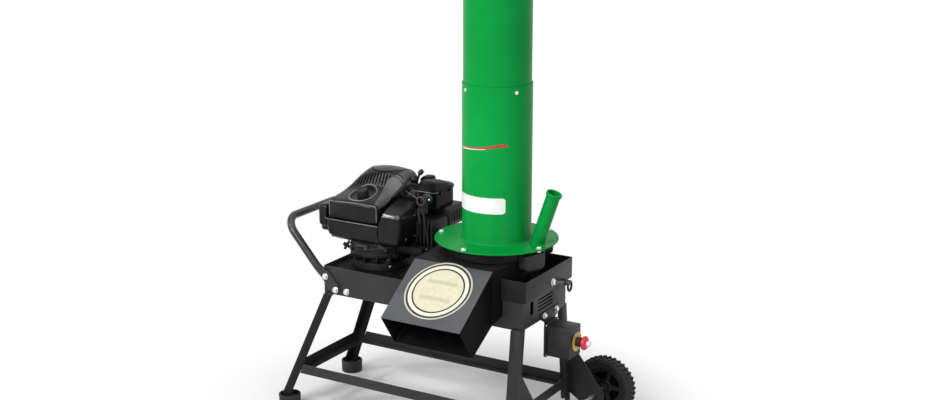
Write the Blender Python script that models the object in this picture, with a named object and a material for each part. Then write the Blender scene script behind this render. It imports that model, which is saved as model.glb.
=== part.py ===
# Forage chopper with a vertical feed tube and a vertical-shaft petrol engine.
# Metres, +Z up, standing on the ground at z = 0. X runs along the machine from the
# engine to the wheels, and -Y is the side that the discharge chute points to.
# Sizes are given from the axis of the feed tube; the whole machine is then moved so
# that the middle of its footprint is the origin.
import bpy
import bmesh
from math import asin, atan2, cos, hypot, pi, radians, sin, tan
from mathutils import Matrix, Vector

mm = 0.001

# Clearances
GAP = 0.3 * mm  # between pieces that touch
RUN = 1.5 * mm  # between pieces that move past each other

# Beam: the long sheet channel that carries engine, chamber and legs
SHEET = 3 * mm
BEAM_LEFT = -540 * mm
BEAM_RIGHT = 165 * mm
BEAM_HALF_WIDTH = 141.6 * mm
BEAM_BOTTOM = 392.5 * mm
BEAM_HEIGHT = 89.5 * mm
BEAM_CORNER = 5 * mm
DECK_DROP = 12 * mm  # top of the deck below the top of the walls
LOUVRE_COUNT = 4
LOUVRE_LENGTH = 96 * mm
LOUVRE_HEIGHT = 4.5 * mm
LOUVRE_PITCH = 11 * mm
LOUVRE_TOP = 20 * mm  # uppermost louvre below the top of the walls
SIDE_SLOT = (12 * mm, 33 * mm)
SIDE_SLOT_Y = -80 * mm

# Belt cover under the beam
COVER_LIP = 16 * mm
COVER_SHEET = 2 * mm

# Pan that holds the cutting chamber
PAN_HALF_LENGTH = 181.6 * mm
PAN_HALF_WIDTH = 149.6 * mm
PAN_HEIGHT = 63.5 * mm

# Cutting chamber
DRUM_R = 145.5 * mm
DRUM_WALL = 3 * mm
DRUM_BASE_R = 130 * mm
DRUM_BASE_HEIGHT = 56 * mm
DRUM_HEIGHT = 75 * mm
HUB_R = 34 * mm
ROUND_STEPS = 36  # facets of the drum, the sleeve and the tube inside it
BASE_STEPS = 24

# Feed tube
FLANGE_R = 186.3 * mm
FLANGE_T = 4 * mm
SLEEVE_R = 104 * mm
SLEEVE_HEIGHT = 475 * mm
TUBE_WALL = 3 * mm
TUBE_INSERT = 90 * mm
TUBE_STRAIGHT = 372 * mm  # from the lower end of the tube to the start of the hopper
HOPPER_HEIGHT = 90 * mm
HOPPER_R = 166 * mm
RIM_R = 4.5 * mm

# Side feed pipe
PIPE_R = 21 * mm
PIPE_WALL = 2.5 * mm
PIPE_LENGTH = 160 * mm
PIPE_LEAN = radians(19)
PIPE_X = 137 * mm
PIPE_RIM = 3 * mm
PIPE_RIM_LENGTH = 12 * mm
PIPE_MOUTH_R = 13 * mm  # hole under the pipe, inside the chamber wall
PIPE_MOUTH_INSET = 4 * mm

# Discharge chute
CHUTE_LEFT = -178 * mm
CHUTE_RIGHT = 88 * mm
CHUTE_BEND = (-177.6 * mm, 572.5 * mm)
CHUTE_LIP = (-364.2 * mm, 442.5 * mm)
CHUTE_HEEL = (-292.9 * mm, 343.5 * mm)
CHUTE_FOOT_Z = 430 * mm  # where the bottom plate meets the beam
CHUTE_SHEET = 2.5 * mm
THROAT_RIGHT = (128 * mm, -69 * mm)
THROAT_LEFT = (-149 * mm, -20 * mm)
THROAT_TOP = 588 * mm

# Rotor
SHAFT_R = 15 * mm
SHAFT_LOW_R = 12 * mm
SHAFT_BOTTOM = 404 * mm
BEARING_R = 26 * mm
BEARING_WIDTH = 15 * mm
DISC_R = 132 * mm
DISC_T = 6 * mm
DISC_LIFT = 24 * mm  # underside of the disc over the chamber floor
DISC_HUB_R = 26 * mm
DISC_HUB_RISE = 8 * mm
KNIFE_COUNT = 2
KNIFE = (88 * mm, 34 * mm, 5 * mm)
PADDLE = (46 * mm, 5 * mm, 19 * mm)
COUNTER_KNIFE = (34 * mm, 40 * mm, 8 * mm)
COUNTER_KNIFE_TURN = radians(75)
KNIFE_CLEARANCE = 6 * mm  # from the knives up to the counter knife

# Belt drive
ENGINE_X = -417 * mm
PULLEY_Z = 430 * mm
DRIVE_PULLEY_R = 50 * mm
DRIVEN_PULLEY_R = 60 * mm
PULLEY_WIDTH = 20 * mm
BELT_TOP = 13 * mm
BELT_DEPTH = 8 * mm
BELT_SLANT = radians(18)
CRANK_R = 12.5 * mm

# Legs and rails of angle iron
ANGLE = 32 * mm
ANGLE_T = 3 * mm
SPLAY = 0.115  # outward, in Y, per unit of height
LEG_OUTSET = 8 * mm  # of the legs' outer faces from the beam's sides
RAKE = 0.4117  # of the left legs, in -X, per unit of height
RIGHT_LEG_X = 164 * mm
LEFT_LEG_X = -535.5 * mm
RIGHT_LEG_BOTTOM = 62 * mm
RAIL_TOP = 151 * mm

# Feet
FOOT_R = 35.5 * mm
FOOT_HEIGHT = 40 * mm
FOOT_SHIFT = 5 * mm  # of the cup's middle towards the machine's
FOOT_POCKET_R = 30 * mm
FOOT_POCKET = 12 * mm

# Wheels
WHEEL_R = 100 * mm
TREAD_DEPTH = 5 * mm
TREAD_BLOCKS = 12
TYRE_WIDTH = 45 * mm
RIM_OUTER_R = 64 * mm
HUB_WIDTH = 52 * mm
WHEEL_HUB_R = 19 * mm
AXLE_R = 8 * mm
AXLE_X = 249 * mm
WHEEL_Y = 262 * mm
SPOKES = 5
BRACKET_T = 4 * mm
BRACKET_TIP_R = 34 * mm

# Push handle
HANDLE_R = 12.5 * mm
HANDLE_FLAT = 6 * mm
HANDLE_FLAT_WIDTH = 36 * mm
HANDLE_END = (-488 * mm, 404 * mm)
HANDLE_TOP = (-674 * mm, 617 * mm)
HANDLE_BEND_R = 55 * mm

# Emergency stop
STOP_BOX = (76 * mm, 75 * mm, 96 * mm)
STOP_BOX_Y = 32.5 * mm
STOP_BOX_Z = 323 * mm
STOP_BOX_WALL = 4 * mm
STOP_LID_T = 7 * mm
STOP_LID_OVER = 5 * mm
STOP_PLATE_T = 2.7 * mm
STOP_PLATE_RISE = 50 * mm
STOP_BUTTON_Y = 44 * mm
STOP_BUTTON_Z = 320 * mm
STOP_RING_R = 30 * mm
STOP_RING_T = 2 * mm
STOP_COLLAR_R = 15 * mm
STOP_COLLAR = 15 * mm
STOP_STEM_R = 9 * mm
STOP_HEAD_R = 21.5 * mm
STOP_HEAD = 16 * mm
STOP_TRAVEL = 5 * mm

# Engine
MOUNT_RING_R = 86 * mm
MOUNT_RING = 24 * mm
SUMP_R = 98 * mm
COWL_BOTTOM = 562 * mm
COWL_LIP = COWL_BOTTOM + 64 * mm
COWL_LEFT = ENGINE_X - 143 * mm
COWL_SEAM = ENGINE_X + 61 * mm
COWL_FRONT = -108 * mm
COWL_BACK = 134 * mm
TANK_TOP = COWL_LIP + 76 * mm
DOME_TOP = TANK_TOP + 72 * mm
FLYWHEEL_R = 78 * mm
FLYWHEEL_T = 22 * mm
FAN_BLADES = 8
COWL_WELL_R = 86 * mm
TANK_WELL_R = 54 * mm
TANK_SLOPE = radians(16)
CAP_X = ENGINE_X - 31 * mm
CAP_Y = -50 * mm
CAP_Z = TANK_TOP - 4 * mm
CAP_R = 17 * mm
CAP_HEIGHT = 17 * mm
CAP_WELL_R = 41 * mm
GRILLE_SLOTS = 11
GRILLE_SLOT = 4.6 * mm
GRILLE_WIDTH = 124 * mm
GRILLE_X = ENGINE_X - 24 * mm
SIDE_COWL_LEFT = COWL_SEAM + GAP
SIDE_COWL_RIGHT = ENGINE_X + 140 * mm
SIDE_EDGE = COWL_LIP + 38 * mm
SIDE_CREST = 11.4 * mm
SIDE_CLIMB = 14 * mm
SIDE_TWIST = 25 * mm
CYLINDER_LEFT = SIDE_COWL_RIGHT + GAP * 3
CYLINDER_RIGHT = CYLINDER_LEFT + 58 * mm
CYLINDER_Y = 30 * mm
CYLINDER_HALF = 46 * mm
CYLINDER_LOW = COWL_BOTTOM - 8 * mm
CYLINDER_HIGH = CYLINDER_LOW + 84 * mm
FIN_COUNT = 5
FIN_T = 4 * mm
FILTER_LEFT = ENGINE_X + 106 * mm
FILTER_RIGHT = FILTER_LEFT + 81 * mm
FILTER_FRONT = SIDE_CREST + GAP * 2
FILTER_BACK = FILTER_FRONT + 144 * mm
FILTER_LOW = CYLINDER_HIGH + 22 * mm
FILTER_EDGE = FILTER_LOW + 60 * mm
FILTER_HIGH = FILTER_LOW + 87 * mm
FILTER_CORNER = 28 * mm
FILTER_ARCH = 10 * mm
FILTER_RIM = 2.5 * mm
MUFFLER_DEPTH = 58 * mm
CARBURETTOR_X = CYLINDER_RIGHT - 34 * mm
CARBURETTOR_Z = FILTER_LOW + 40 * mm
CARBURETTOR_LENGTH = 42 * mm
PLUG_Y = CYLINDER_Y
PLUG_Z = CYLINDER_LOW + 40 * mm
THROTTLE_X = ENGINE_X + 95 * mm
THROTTLE_PIVOT = (60 * mm, DOME_TOP - 40 * mm)
THROTTLE_LENGTH = 34 * mm
THROTTLE_PIN = 18.9 * mm
THROTTLE_BAR = 6 * mm
THROTTLE_LEAN = radians(35)
STARTER_Y = -66 * mm
STARTER_Z = COWL_BOTTOM + 44 * mm
STARTER_GRIP = (32 * mm, 26 * mm, 30 * mm)
ROPE_R = 2 * mm
ROPE_END = 96 * mm
NECK_WAY = (-0.66, -0.52, 0.54)
NECK_Z = 518 * mm
NECK_LENGTH = 26 * mm

# The footprint's middle, from which the finished part is measured
FOOT_LEVEL = FOOT_HEIGHT - FOOT_POCKET / 2
FOOT_X = LEFT_LEG_X - RAKE * (BEAM_BOTTOM - FOOT_LEVEL) + ANGLE / 2 + FOOT_SHIFT
LEFT_END = FOOT_X - FOOT_R
RIGHT_END = AXLE_X + WHEEL_R
MIDDLE_X = (LEFT_END + RIGHT_END) / 2
AXLE_END = WHEEL_Y + HUB_WIDTH / 2 + 5 * mm
MIDDLE_Y = (CHUTE_LIP[0] + AXLE_END) / 2

# Levels worked out from the sizes above
BEAM_TOP = BEAM_BOTTOM + BEAM_HEIGHT
DECK_TOP = BEAM_TOP - DECK_DROP
PAN_BOTTOM = BEAM_TOP + GAP
PAN_FLOOR = PAN_BOTTOM + SHEET
PAN_TOP = PAN_BOTTOM + PAN_HEIGHT
CHAMBER_BOTTOM = PAN_FLOOR + GAP
CHAMBER_FLOOR = CHAMBER_BOTTOM + DRUM_BASE_HEIGHT
DRUM_BOTTOM = CHAMBER_FLOOR + GAP
DRUM_TOP = DRUM_BOTTOM + DRUM_HEIGHT
FLANGE_BOTTOM = DRUM_TOP + GAP
FLANGE_TOP = FLANGE_BOTTOM + FLANGE_T
SLEEVE_TOP = FLANGE_BOTTOM + SLEEVE_HEIGHT
SLEEVE_BORE = SLEEVE_R - TUBE_WALL
UPPER_R = SLEEVE_BORE - GAP


# Scene and materials

def clear_scene():
    for item in list(bpy.data.objects):
        bpy.data.objects.remove(item, do_unlink=True)


def material(name, colour, roughness, metallic=0.0):
    made = bpy.data.materials.new(name)
    made.use_nodes = True
    shader = made.node_tree.nodes["Principled BSDF"]
    shader.inputs["Base Color"].default_value = (*colour, 1)
    shader.inputs["Roughness"].default_value = roughness
    shader.inputs["Metallic"].default_value = metallic
    return made


def shades():
    return {
        "green": material("green_paint", (0.005, 0.34, 0.055), 0.35),
        "black": material("black_paint", (0.03, 0.031, 0.033), 0.45),
        "plastic": material("black_plastic", (0.035, 0.036, 0.038), 0.5),
        "cast": material("dark_casting", (0.06, 0.06, 0.065), 0.55, 0.6),
        "steel": material("bright_steel", (0.6, 0.6, 0.6), 0.3, 1.0),
        "rubber": material("rubber", (0.02, 0.02, 0.02), 0.8),
        "belt": material("belt_rubber", (0.03, 0.03, 0.03), 0.7),
        "yellow": material("yellow_plastic", (0.72, 0.52, 0.06), 0.4),
        "red": material("red_plastic", (0.75, 0.03, 0.05), 0.35),
    }


# Making and placing solids

def finish(name, bm, shade, origin=(0, 0, 0), sharp=35):
    """Turns a bmesh, drawn from the tube axis, into an object whose origin is the point given."""
    bmesh.ops.recalc_face_normals(bm, faces=bm.faces)
    if bm.calc_volume(signed=True) < 0:
        bmesh.ops.reverse_faces(bm, faces=bm.faces)
    bmesh.ops.translate(bm, verts=bm.verts, vec=-Vector(origin))
    mesh = bpy.data.meshes.new(name)
    bm.to_mesh(mesh)
    bm.free()
    mesh.shade_smooth()
    mesh.set_sharp_from_angle(angle=radians(sharp))
    made = bpy.data.objects.new(name, mesh)
    made.location = Vector(origin)
    bpy.context.collection.objects.link(made)
    if shade:
        made.data.materials.append(shade)
    return made


def as_cutter(made):
    made.hide_render = True
    made.display_type = "WIRE"
    return made


def cut(target, name, bm, operation="DIFFERENCE"):
    tool = as_cutter(finish(name, bm, None))
    step = target.modifiers.new(name, "BOOLEAN")
    step.operation = operation
    step.solver = "EXACT"
    step.object = tool
    return tool


def add_prism(bm, outline, low, high, place=Matrix()):
    """A flat outline drawn out from low to high along its own Z, then placed."""
    floor = [bm.verts.new(place @ Vector((x, y, low))) for x, y in outline]
    roof = [bm.verts.new(place @ Vector((x, y, high))) for x, y in outline]
    bm.faces.new(floor)
    bm.faces.new(roof)
    count = len(outline)
    for i in range(count):
        j = (i + 1) % count
        bm.faces.new((floor[i], floor[j], roof[j], roof[i]))
    return floor + roof


def prism(outline, low, high, place=Matrix()):
    bm = bmesh.new()
    add_prism(bm, outline, low, high, place)
    return bm


# Places an outline of (y, z) points so that it is drawn out along X
FACING_X = Matrix(((0, 0, 1, 0), (1, 0, 0, 0), (0, 1, 0, 0), (0, 0, 0, 1)))


def rectangle(x0, x1, y0, y1):
    return [(x0, y0), (x1, y0), (x1, y1), (x0, y1)]


def arc(centre, radius, start, end, steps):
    return [
        (
            centre[0] + radius * cos(start + (end - start) * i / steps),
            centre[1] + radius * sin(start + (end - start) * i / steps),
        )
        for i in range(steps + 1)
    ]


def rounded(x0, x1, y0, y1, radius, steps=4):
    corners = (
        ((x1 - radius, y0 + radius), -pi / 2),
        ((x1 - radius, y1 - radius), 0),
        ((x0 + radius, y1 - radius), pi / 2),
        ((x0 + radius, y0 + radius), pi),
    )
    points = []
    for centre, start in corners:
        points += arc(centre, radius, start, start + pi / 2, steps)
    return points


def circle(x, y, radius, steps=20):
    return arc((x, y), radius, 0, 2 * pi * (steps - 1) / steps, steps - 1)


def add_box(bm, x0, x1, y0, y1, z0, z1):
    return add_prism(bm, rectangle(x0, x1, y0, y1), z0, z1)


def turned(profile, place=Matrix(), steps=16, closed=True):
    """A profile of (radius, height) points spun about its own Z. An open one starts and ends on the axis."""
    bm = bmesh.new()
    points = [bm.verts.new((r, 0, z)) for r, z in profile]
    edges = [bm.edges.new(pair) for pair in zip(points, points[1:])]
    if closed:
        edges.append(bm.edges.new((points[-1], points[0])))
    bmesh.ops.spin(
        bm, geom=points + edges, cent=(0, 0, 0), axis=(0, 0, 1),
        angle=2 * pi, steps=steps, use_merge=True,
    )
    bmesh.ops.remove_doubles(bm, verts=bm.verts, dist=1e-6)
    bm.transform(place)
    return bm


def along(point, direction):
    """Places a turned shape's own Z along a direction, from a point."""
    turn = Vector(direction).to_track_quat("Z", "Y").to_matrix().to_4x4()
    return Matrix.Translation(point) @ turn


def loft(sections, capped=True):
    """Rings of as many points each, joined in turn and closed at the ends."""
    bm = bmesh.new()
    rings = [[bm.verts.new(p) for p in section] for section in sections]
    count = len(rings[0])
    for lower, upper in zip(rings, rings[1:]):
        for i in range(count):
            j = (i + 1) % count
            bm.faces.new((lower[i], lower[j], upper[j], upper[i]))
    if capped:
        bm.faces.new(rings[0])
        bm.faces.new(rings[-1])
    return bm


# Beam, cover and pan

def make_beam(shade):
    outline = rounded(BEAM_LEFT, BEAM_RIGHT, -BEAM_HALF_WIDTH, BEAM_HALF_WIDTH, BEAM_CORNER, 3)
    beam = finish("main_beam", prism(outline, BEAM_BOTTOM, BEAM_TOP), shade)
    inside = rounded(
        BEAM_LEFT + SHEET, BEAM_RIGHT - SHEET,
        -BEAM_HALF_WIDTH + SHEET, BEAM_HALF_WIDTH - SHEET, BEAM_CORNER - SHEET, 3,
    )
    hollow = prism(inside, DECK_TOP, BEAM_TOP + SHEET)
    add_prism(hollow, inside, BEAM_BOTTOM - SHEET, DECK_TOP - SHEET)
    cut(beam, "beam_hollows", hollow)
    holes = bmesh.new()
    add_prism(holes, circle(ENGINE_X, 0, CRANK_R + 4 * mm), DECK_TOP - 2 * SHEET, DECK_TOP + SHEET)
    add_prism(holes, circle(0, 0, SHAFT_R + 4 * mm), DECK_TOP - 2 * SHEET, DECK_TOP + SHEET)
    for i in range(LOUVRE_COUNT):
        z = BEAM_TOP - LOUVRE_TOP - i * LOUVRE_PITCH
        add_box(
            holes, BEAM_RIGHT - 2 * SHEET, BEAM_RIGHT + SHEET,
            5 * mm - LOUVRE_LENGTH / 2, 5 * mm + LOUVRE_LENGTH / 2,
            z - LOUVRE_HEIGHT, z,
        )
    z = BEAM_TOP - LOUVRE_TOP + 2 * mm
    add_box(
        holes, BEAM_RIGHT - 2 * SHEET, BEAM_RIGHT + SHEET,
        SIDE_SLOT_Y - SIDE_SLOT[0] / 2, SIDE_SLOT_Y + SIDE_SLOT[0] / 2, z - SIDE_SLOT[1], z,
    )
    cut(beam, "beam_holes", holes)


def make_belt_cover(shade):
    reach = SHEET + GAP
    outline = rounded(
        BEAM_LEFT + reach, BEAM_RIGHT - reach,
        -BEAM_HALF_WIDTH + reach, BEAM_HALF_WIDTH - reach, BEAM_CORNER - SHEET, 2,
    )
    cover = finish("belt_cover", prism(outline, BEAM_BOTTOM, BEAM_BOTTOM + COVER_LIP), shade)
    reach += COVER_SHEET
    inside = rectangle(
        BEAM_LEFT + reach, BEAM_RIGHT - reach,
        -BEAM_HALF_WIDTH + reach, BEAM_HALF_WIDTH - reach,
    )
    cut(cover, "cover_hollow", prism(inside, BEAM_BOTTOM + COVER_SHEET, BEAM_BOTTOM + 2 * COVER_LIP))


def make_pan(shade):
    outline = rounded(-PAN_HALF_LENGTH, PAN_HALF_LENGTH, -PAN_HALF_WIDTH, PAN_HALF_WIDTH, 4 * mm, 2)
    pan = finish("chamber_pan", prism(outline, PAN_BOTTOM, PAN_TOP), shade)
    inside = rectangle(
        -PAN_HALF_LENGTH + SHEET, PAN_HALF_LENGTH - SHEET,
        -PAN_HALF_WIDTH + SHEET, PAN_HALF_WIDTH - SHEET,
    )
    hollow = prism(inside, PAN_FLOOR, PAN_TOP + SHEET)
    cut(pan, "pan_hollow", hollow)
    way_out = bmesh.new()
    add_box(
        way_out, CHUTE_LEFT - GAP, throat_edge_right(-PAN_HALF_WIDTH) + 2 * GAP + 1 * mm,
        -PAN_HALF_WIDTH - SHEET, -PAN_HALF_WIDTH + 2 * SHEET, PAN_FLOOR, PAN_TOP + SHEET,
    )
    cut(pan, "pan_way_out", way_out)
    cut(pan, "pan_shaft_hole", prism(circle(0, 0, SHAFT_R + 7 * mm), PAN_BOTTOM - SHEET, PAN_FLOOR + SHEET))


# Cutting chamber

def make_chamber_base(shade):
    bore = BEARING_R + GAP
    low, high = CHAMBER_BOTTOM, CHAMBER_FLOOR
    under = high - SHEET
    lip = SHAFT_R + 3.5 * mm
    profile = [
        (lip, high), (DRUM_R - 0.5 * mm, high), (DRUM_R - 0.5 * mm, under), (DRUM_BASE_R, under),
        (DRUM_BASE_R, low), (DRUM_BASE_R - SHEET, low), (DRUM_BASE_R - SHEET, under),
        (HUB_R, under), (HUB_R, low), (bore, low), (bore, under), (lip, under),
    ]
    finish("chamber_base", turned(profile, steps=BASE_STEPS), shade)


def make_bearing(name, low, shade):
    inner, outer = SHAFT_R + GAP, BEARING_R
    race = 3 * mm
    dip = 1.2 * mm
    high = low + BEARING_WIDTH
    profile = [
        (inner, high), (inner + race, high), (inner + race, high - dip),
        (outer - race, high - dip), (outer - race, high), (outer, high),
        (outer, low), (inner, low),
    ]
    finish(name, turned(profile), shade)


def throat_edge_right(y):
    share = (y - CHUTE_BEND[0]) / (THROAT_RIGHT[1] - CHUTE_BEND[0])
    return CHUTE_RIGHT + share * (THROAT_RIGHT[0] - CHUTE_RIGHT)


def throat_edge_left(y):
    share = (y - CHUTE_BEND[0]) / (THROAT_LEFT[1] - CHUTE_BEND[0])
    return CHUTE_LEFT + share * (THROAT_LEFT[0] - CHUTE_LEFT)


def throat_plan(front, back, inset):
    right_y = min(back, THROAT_RIGHT[1])
    left_y = min(back, THROAT_LEFT[1])
    return [
        (throat_edge_left(front) + inset, front),
        (throat_edge_right(front) - inset, front),
        (throat_edge_right(right_y) - inset, right_y),
        (throat_edge_right(right_y) - inset, back),
        (throat_edge_left(left_y) + inset, back),
        (throat_edge_left(left_y) + inset, left_y),
    ]


def make_drum(shade):
    profile = [
        (DRUM_R, DRUM_TOP), (DRUM_R, DRUM_BOTTOM),
        (DRUM_R - DRUM_WALL, DRUM_BOTTOM), (DRUM_R - DRUM_WALL, DRUM_TOP),
    ]
    drum = finish("chamber_wall", turned(profile, steps=ROUND_STEPS), shade)
    front = -DRUM_R - 10 * mm
    plan = throat_plan(front, -40 * mm, CHUTE_SHEET + 3 * mm)
    plan = plan[:3] + [(THROAT_RIGHT[0] - 12 * mm, -40 * mm), (-128 * mm, -40 * mm)]
    cut(drum, "drum_window", prism(plan, DRUM_BOTTOM - 1 * mm, THROAT_TOP - 8 * mm))


def make_throat(shade):
    """The casing that leads from the drum to the chute: a top, two sides and a short floor."""
    front = CHUTE_BEND[0] + GAP
    wide = 220 * mm
    outer = [
        (front, CHUTE_BEND[1]),
        (-60 * mm, THROAT_TOP),
        (-10 * mm, THROAT_TOP),
        (-10 * mm, CHAMBER_BOTTOM),
        (-PAN_HALF_WIDTH - GAP, CHAMBER_BOTTOM),
        (-PAN_HALF_WIDTH - GAP, PAN_BOTTOM - GAP),
        (-BEAM_HALF_WIDTH - GAP, PAN_BOTTOM - GAP),
        (-BEAM_HALF_WIDTH - GAP, CHUTE_FOOT_Z),
        (front, chute_floor(front)),
    ]
    plan = throat_plan(front, -10 * mm, 0)
    throat = finish("chute_throat", prism(plan, CHUTE_FOOT_Z - 60 * mm, THROAT_TOP + 30 * mm), shade)
    cut(throat, "throat_side", prism(outer, -wide, wide, FACING_X), "INTERSECT")
    s = CHUTE_SHEET
    low = CHUTE_FOOT_Z + s
    inner = [
        (front - 1 * mm, CHUTE_BEND[1] - s),
        (-60 * mm, THROAT_TOP - s),
        (0, THROAT_TOP - s),
        (0, CHAMBER_BOTTOM - 1 * mm),
        (-BEAM_HALF_WIDTH + 1 * mm, CHAMBER_BOTTOM - 1 * mm),
        (-BEAM_HALF_WIDTH + 1 * mm, low),
        (front - 1 * mm, chute_floor(front - 1 * mm) + s),
    ]
    inner_plan = throat_plan(front - 1 * mm, 0, s)
    hollow = prism(inner_plan, CHUTE_FOOT_Z - 80 * mm, THROAT_TOP + 40 * mm)
    tool = as_cutter(finish("throat_hollow", hollow, None))
    trim = as_cutter(finish("throat_hollow_side", prism(inner, -wide, wide, FACING_X), None))
    step = tool.modifiers.new("side", "BOOLEAN")
    step.operation = "INTERSECT"
    step.object = trim
    step = throat.modifiers.new("hollow", "BOOLEAN")
    step.operation = "DIFFERENCE"
    step.object = tool
    drum = circle(0, 0, DRUM_R + GAP, ROUND_STEPS)
    cut(throat, "throat_drum", prism(drum, CHAMBER_FLOOR - SHEET - 2 * mm, FLANGE_TOP))
    base = circle(0, 0, DRUM_BASE_R + GAP, BASE_STEPS)
    cut(throat, "throat_base", prism(base, CHAMBER_BOTTOM - 5 * mm, CHAMBER_FLOOR))


def chute_floor(y):
    """Height of the bottom plate's underside at a distance in front of the tube."""
    back = -BEAM_HALF_WIDTH - GAP
    share = (y - CHUTE_HEEL[0]) / (back - CHUTE_HEEL[0])
    return CHUTE_HEEL[1] + share * (CHUTE_FOOT_Z - CHUTE_HEEL[1])


def make_chute(shade):
    """The sloping duct in front of the bend, open at both ends."""
    s = CHUTE_SHEET
    top = CHUTE_BEND[0]
    outer = [(top, CHUTE_BEND[1]), CHUTE_LIP, CHUTE_HEEL, (top, chute_floor(top))]
    chute = finish("discharge_chute", prism(outer, CHUTE_LEFT, CHUTE_RIGHT, FACING_X), shade)
    slope = atan2(CHUTE_BEND[1] - CHUTE_LIP[1], CHUTE_BEND[0] - CHUTE_LIP[0])
    fall = atan2(chute_floor(top) - CHUTE_HEEL[1], top - CHUTE_HEEL[0])
    past = 20 * mm
    down, up = s / cos(slope), s / cos(fall)
    hollow = [
        (top + past, CHUTE_BEND[1] - down + past * tan(slope)),
        (CHUTE_LIP[0] - past, CHUTE_LIP[1] - down - past * tan(slope)),
        (CHUTE_HEEL[0] - past, CHUTE_HEEL[1] + up - past * tan(fall)),
        (top + past, chute_floor(top) + up + past * tan(fall)),
    ]
    cut(chute, "chute_hollow", prism(hollow, CHUTE_LEFT + s, CHUTE_RIGHT - s, FACING_X))


# Feed tube

def make_feed_sleeve(shade):
    profile = [
        (SLEEVE_BORE, SLEEVE_TOP), (SLEEVE_R, SLEEVE_TOP), (SLEEVE_R, FLANGE_TOP),
        (FLANGE_R, FLANGE_TOP), (FLANGE_R, FLANGE_BOTTOM), (SLEEVE_BORE, FLANGE_BOTTOM),
    ]
    sleeve = finish("feed_sleeve", turned(profile, steps=ROUND_STEPS), shade)
    mouth = DRUM_R - DRUM_WALL - PIPE_MOUTH_INSET - PIPE_MOUTH_R
    hole = circle(mouth, 0, PIPE_MOUTH_R, 24)
    cut(sleeve, "pipe_mouth", prism(hole, FLANGE_BOTTOM - SHEET, FLANGE_TOP + SHEET))


def make_feed_hopper(shade):
    """The upper tube, slid into the sleeve, and the flared hopper at its top with a rolled rim."""
    low = SLEEVE_TOP - TUBE_INSERT
    knee = low + TUBE_STRAIGHT
    outer, inner = [], []
    steps = 3
    for i in range(steps + 1):
        share = i / steps
        swell = share * share * (3 - 2 * share)
        radius = UPPER_R + (HOPPER_R - UPPER_R) * (0.35 * swell + 0.65 * share)
        outer.append((radius, knee + HOPPER_HEIGHT * share))
        inner.append((radius - TUBE_WALL, knee + HOPPER_HEIGHT * share))
    rim_centre = (HOPPER_R + RIM_R - TUBE_WALL, knee + HOPPER_HEIGHT)
    rim = arc(rim_centre, RIM_R, -pi / 2, pi, 4)
    profile = [(UPPER_R, low)] + outer[:-1] + rim + inner[::-1] + [(UPPER_R - TUBE_WALL, low)]
    finish("feed_hopper", turned(profile, steps=ROUND_STEPS), shade)


def make_side_pipe(shade):
    lean = (sin(PIPE_LEAN), 0, cos(PIPE_LEAN))
    start = -PIPE_R
    end = PIPE_LENGTH / cos(PIPE_LEAN)
    inner = PIPE_R - PIPE_WALL
    profile = [
        (PIPE_R, start), (PIPE_R, end - PIPE_RIM_LENGTH),
        (PIPE_R + PIPE_RIM, end - PIPE_RIM_LENGTH + PIPE_RIM),
        (PIPE_R + PIPE_RIM, end), (inner, end), (inner, start),
    ]
    foot = (PIPE_X, 0, FLANGE_TOP)
    pipe = finish("side_pipe", turned(profile, along(foot, lean), 20), shade)
    floor = bmesh.new()
    wide = 3 * PIPE_R
    add_box(floor, PIPE_X - wide, PIPE_X + wide, -wide, wide, FLANGE_TOP - wide, FLANGE_TOP + GAP)
    cut(pipe, "pipe_foot", floor)


# Rotor

def make_rotor_shaft(shade):
    low = SHAFT_BOTTOM
    shoulder = PAN_BOTTOM - 30 * mm
    top = DRUM_BOTTOM + DISC_LIFT + DISC_T + DISC_HUB_RISE + 4 * mm
    profile = [
        (0, low), (SHAFT_LOW_R - 1 * mm, low), (SHAFT_LOW_R, low + 1 * mm), (SHAFT_LOW_R, shoulder),
        (SHAFT_R, shoulder), (SHAFT_R, DRUM_BOTTOM + DISC_LIFT - GAP),
        (SHAFT_LOW_R, DRUM_BOTTOM + DISC_LIFT - GAP), (SHAFT_LOW_R, top - 1 * mm),
        (SHAFT_LOW_R - 1 * mm, top), (0, top),
    ]
    finish("rotor_shaft", turned(profile, closed=False), shade)


def make_rotor_disc(shade):
    low = DRUM_BOTTOM + DISC_LIFT
    top = low + DISC_T
    bore = SHAFT_LOW_R + GAP
    profile = [
        (bore, low), (DISC_R, low), (DISC_R, top), (DISC_HUB_R, top),
        (DISC_HUB_R - 2 * mm, top + DISC_HUB_RISE), (bore, top + DISC_HUB_RISE),
    ]
    disc = finish("rotor_disc", turned(profile), shade)
    for i in range(KNIFE_COUNT):
        turn = Matrix.Rotation(2 * pi * (i + 0.5) / KNIFE_COUNT, 4, "Z")
        x1 = DISC_R - 1 * mm
        x0 = x1 - PADDLE[0]
        outline = [(x0, -PADDLE[1] / 2), (x1, -PADDLE[1] / 2), (x1, PADDLE[1] / 2), (x0, PADDLE[1] / 2)]
        cut(disc, f"paddle_{i + 1}", prism(outline, low - PADDLE[2], low + 2 * mm, turn), "UNION")


def make_knife(number, shade):
    """A flat knife on the disc, ground to an edge along its leading side."""
    length, width, thick = KNIFE
    turn = Matrix.Rotation(2 * pi * (number - 1) / KNIFE_COUNT, 4, "Z")
    x1 = DISC_R - 2 * mm
    x0 = x1 - length
    low = DRUM_BOTTOM + DISC_LIFT + DISC_T + GAP
    section = [
        (-width / 2, low), (width / 2, low), (width / 2, low + 0.8 * mm),
        (width / 2 - 8 * mm, low + thick), (-width / 2, low + thick),
    ]
    finish(f"knife_{number}", prism(section, x0, x1, turn @ FACING_X), shade)


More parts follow.
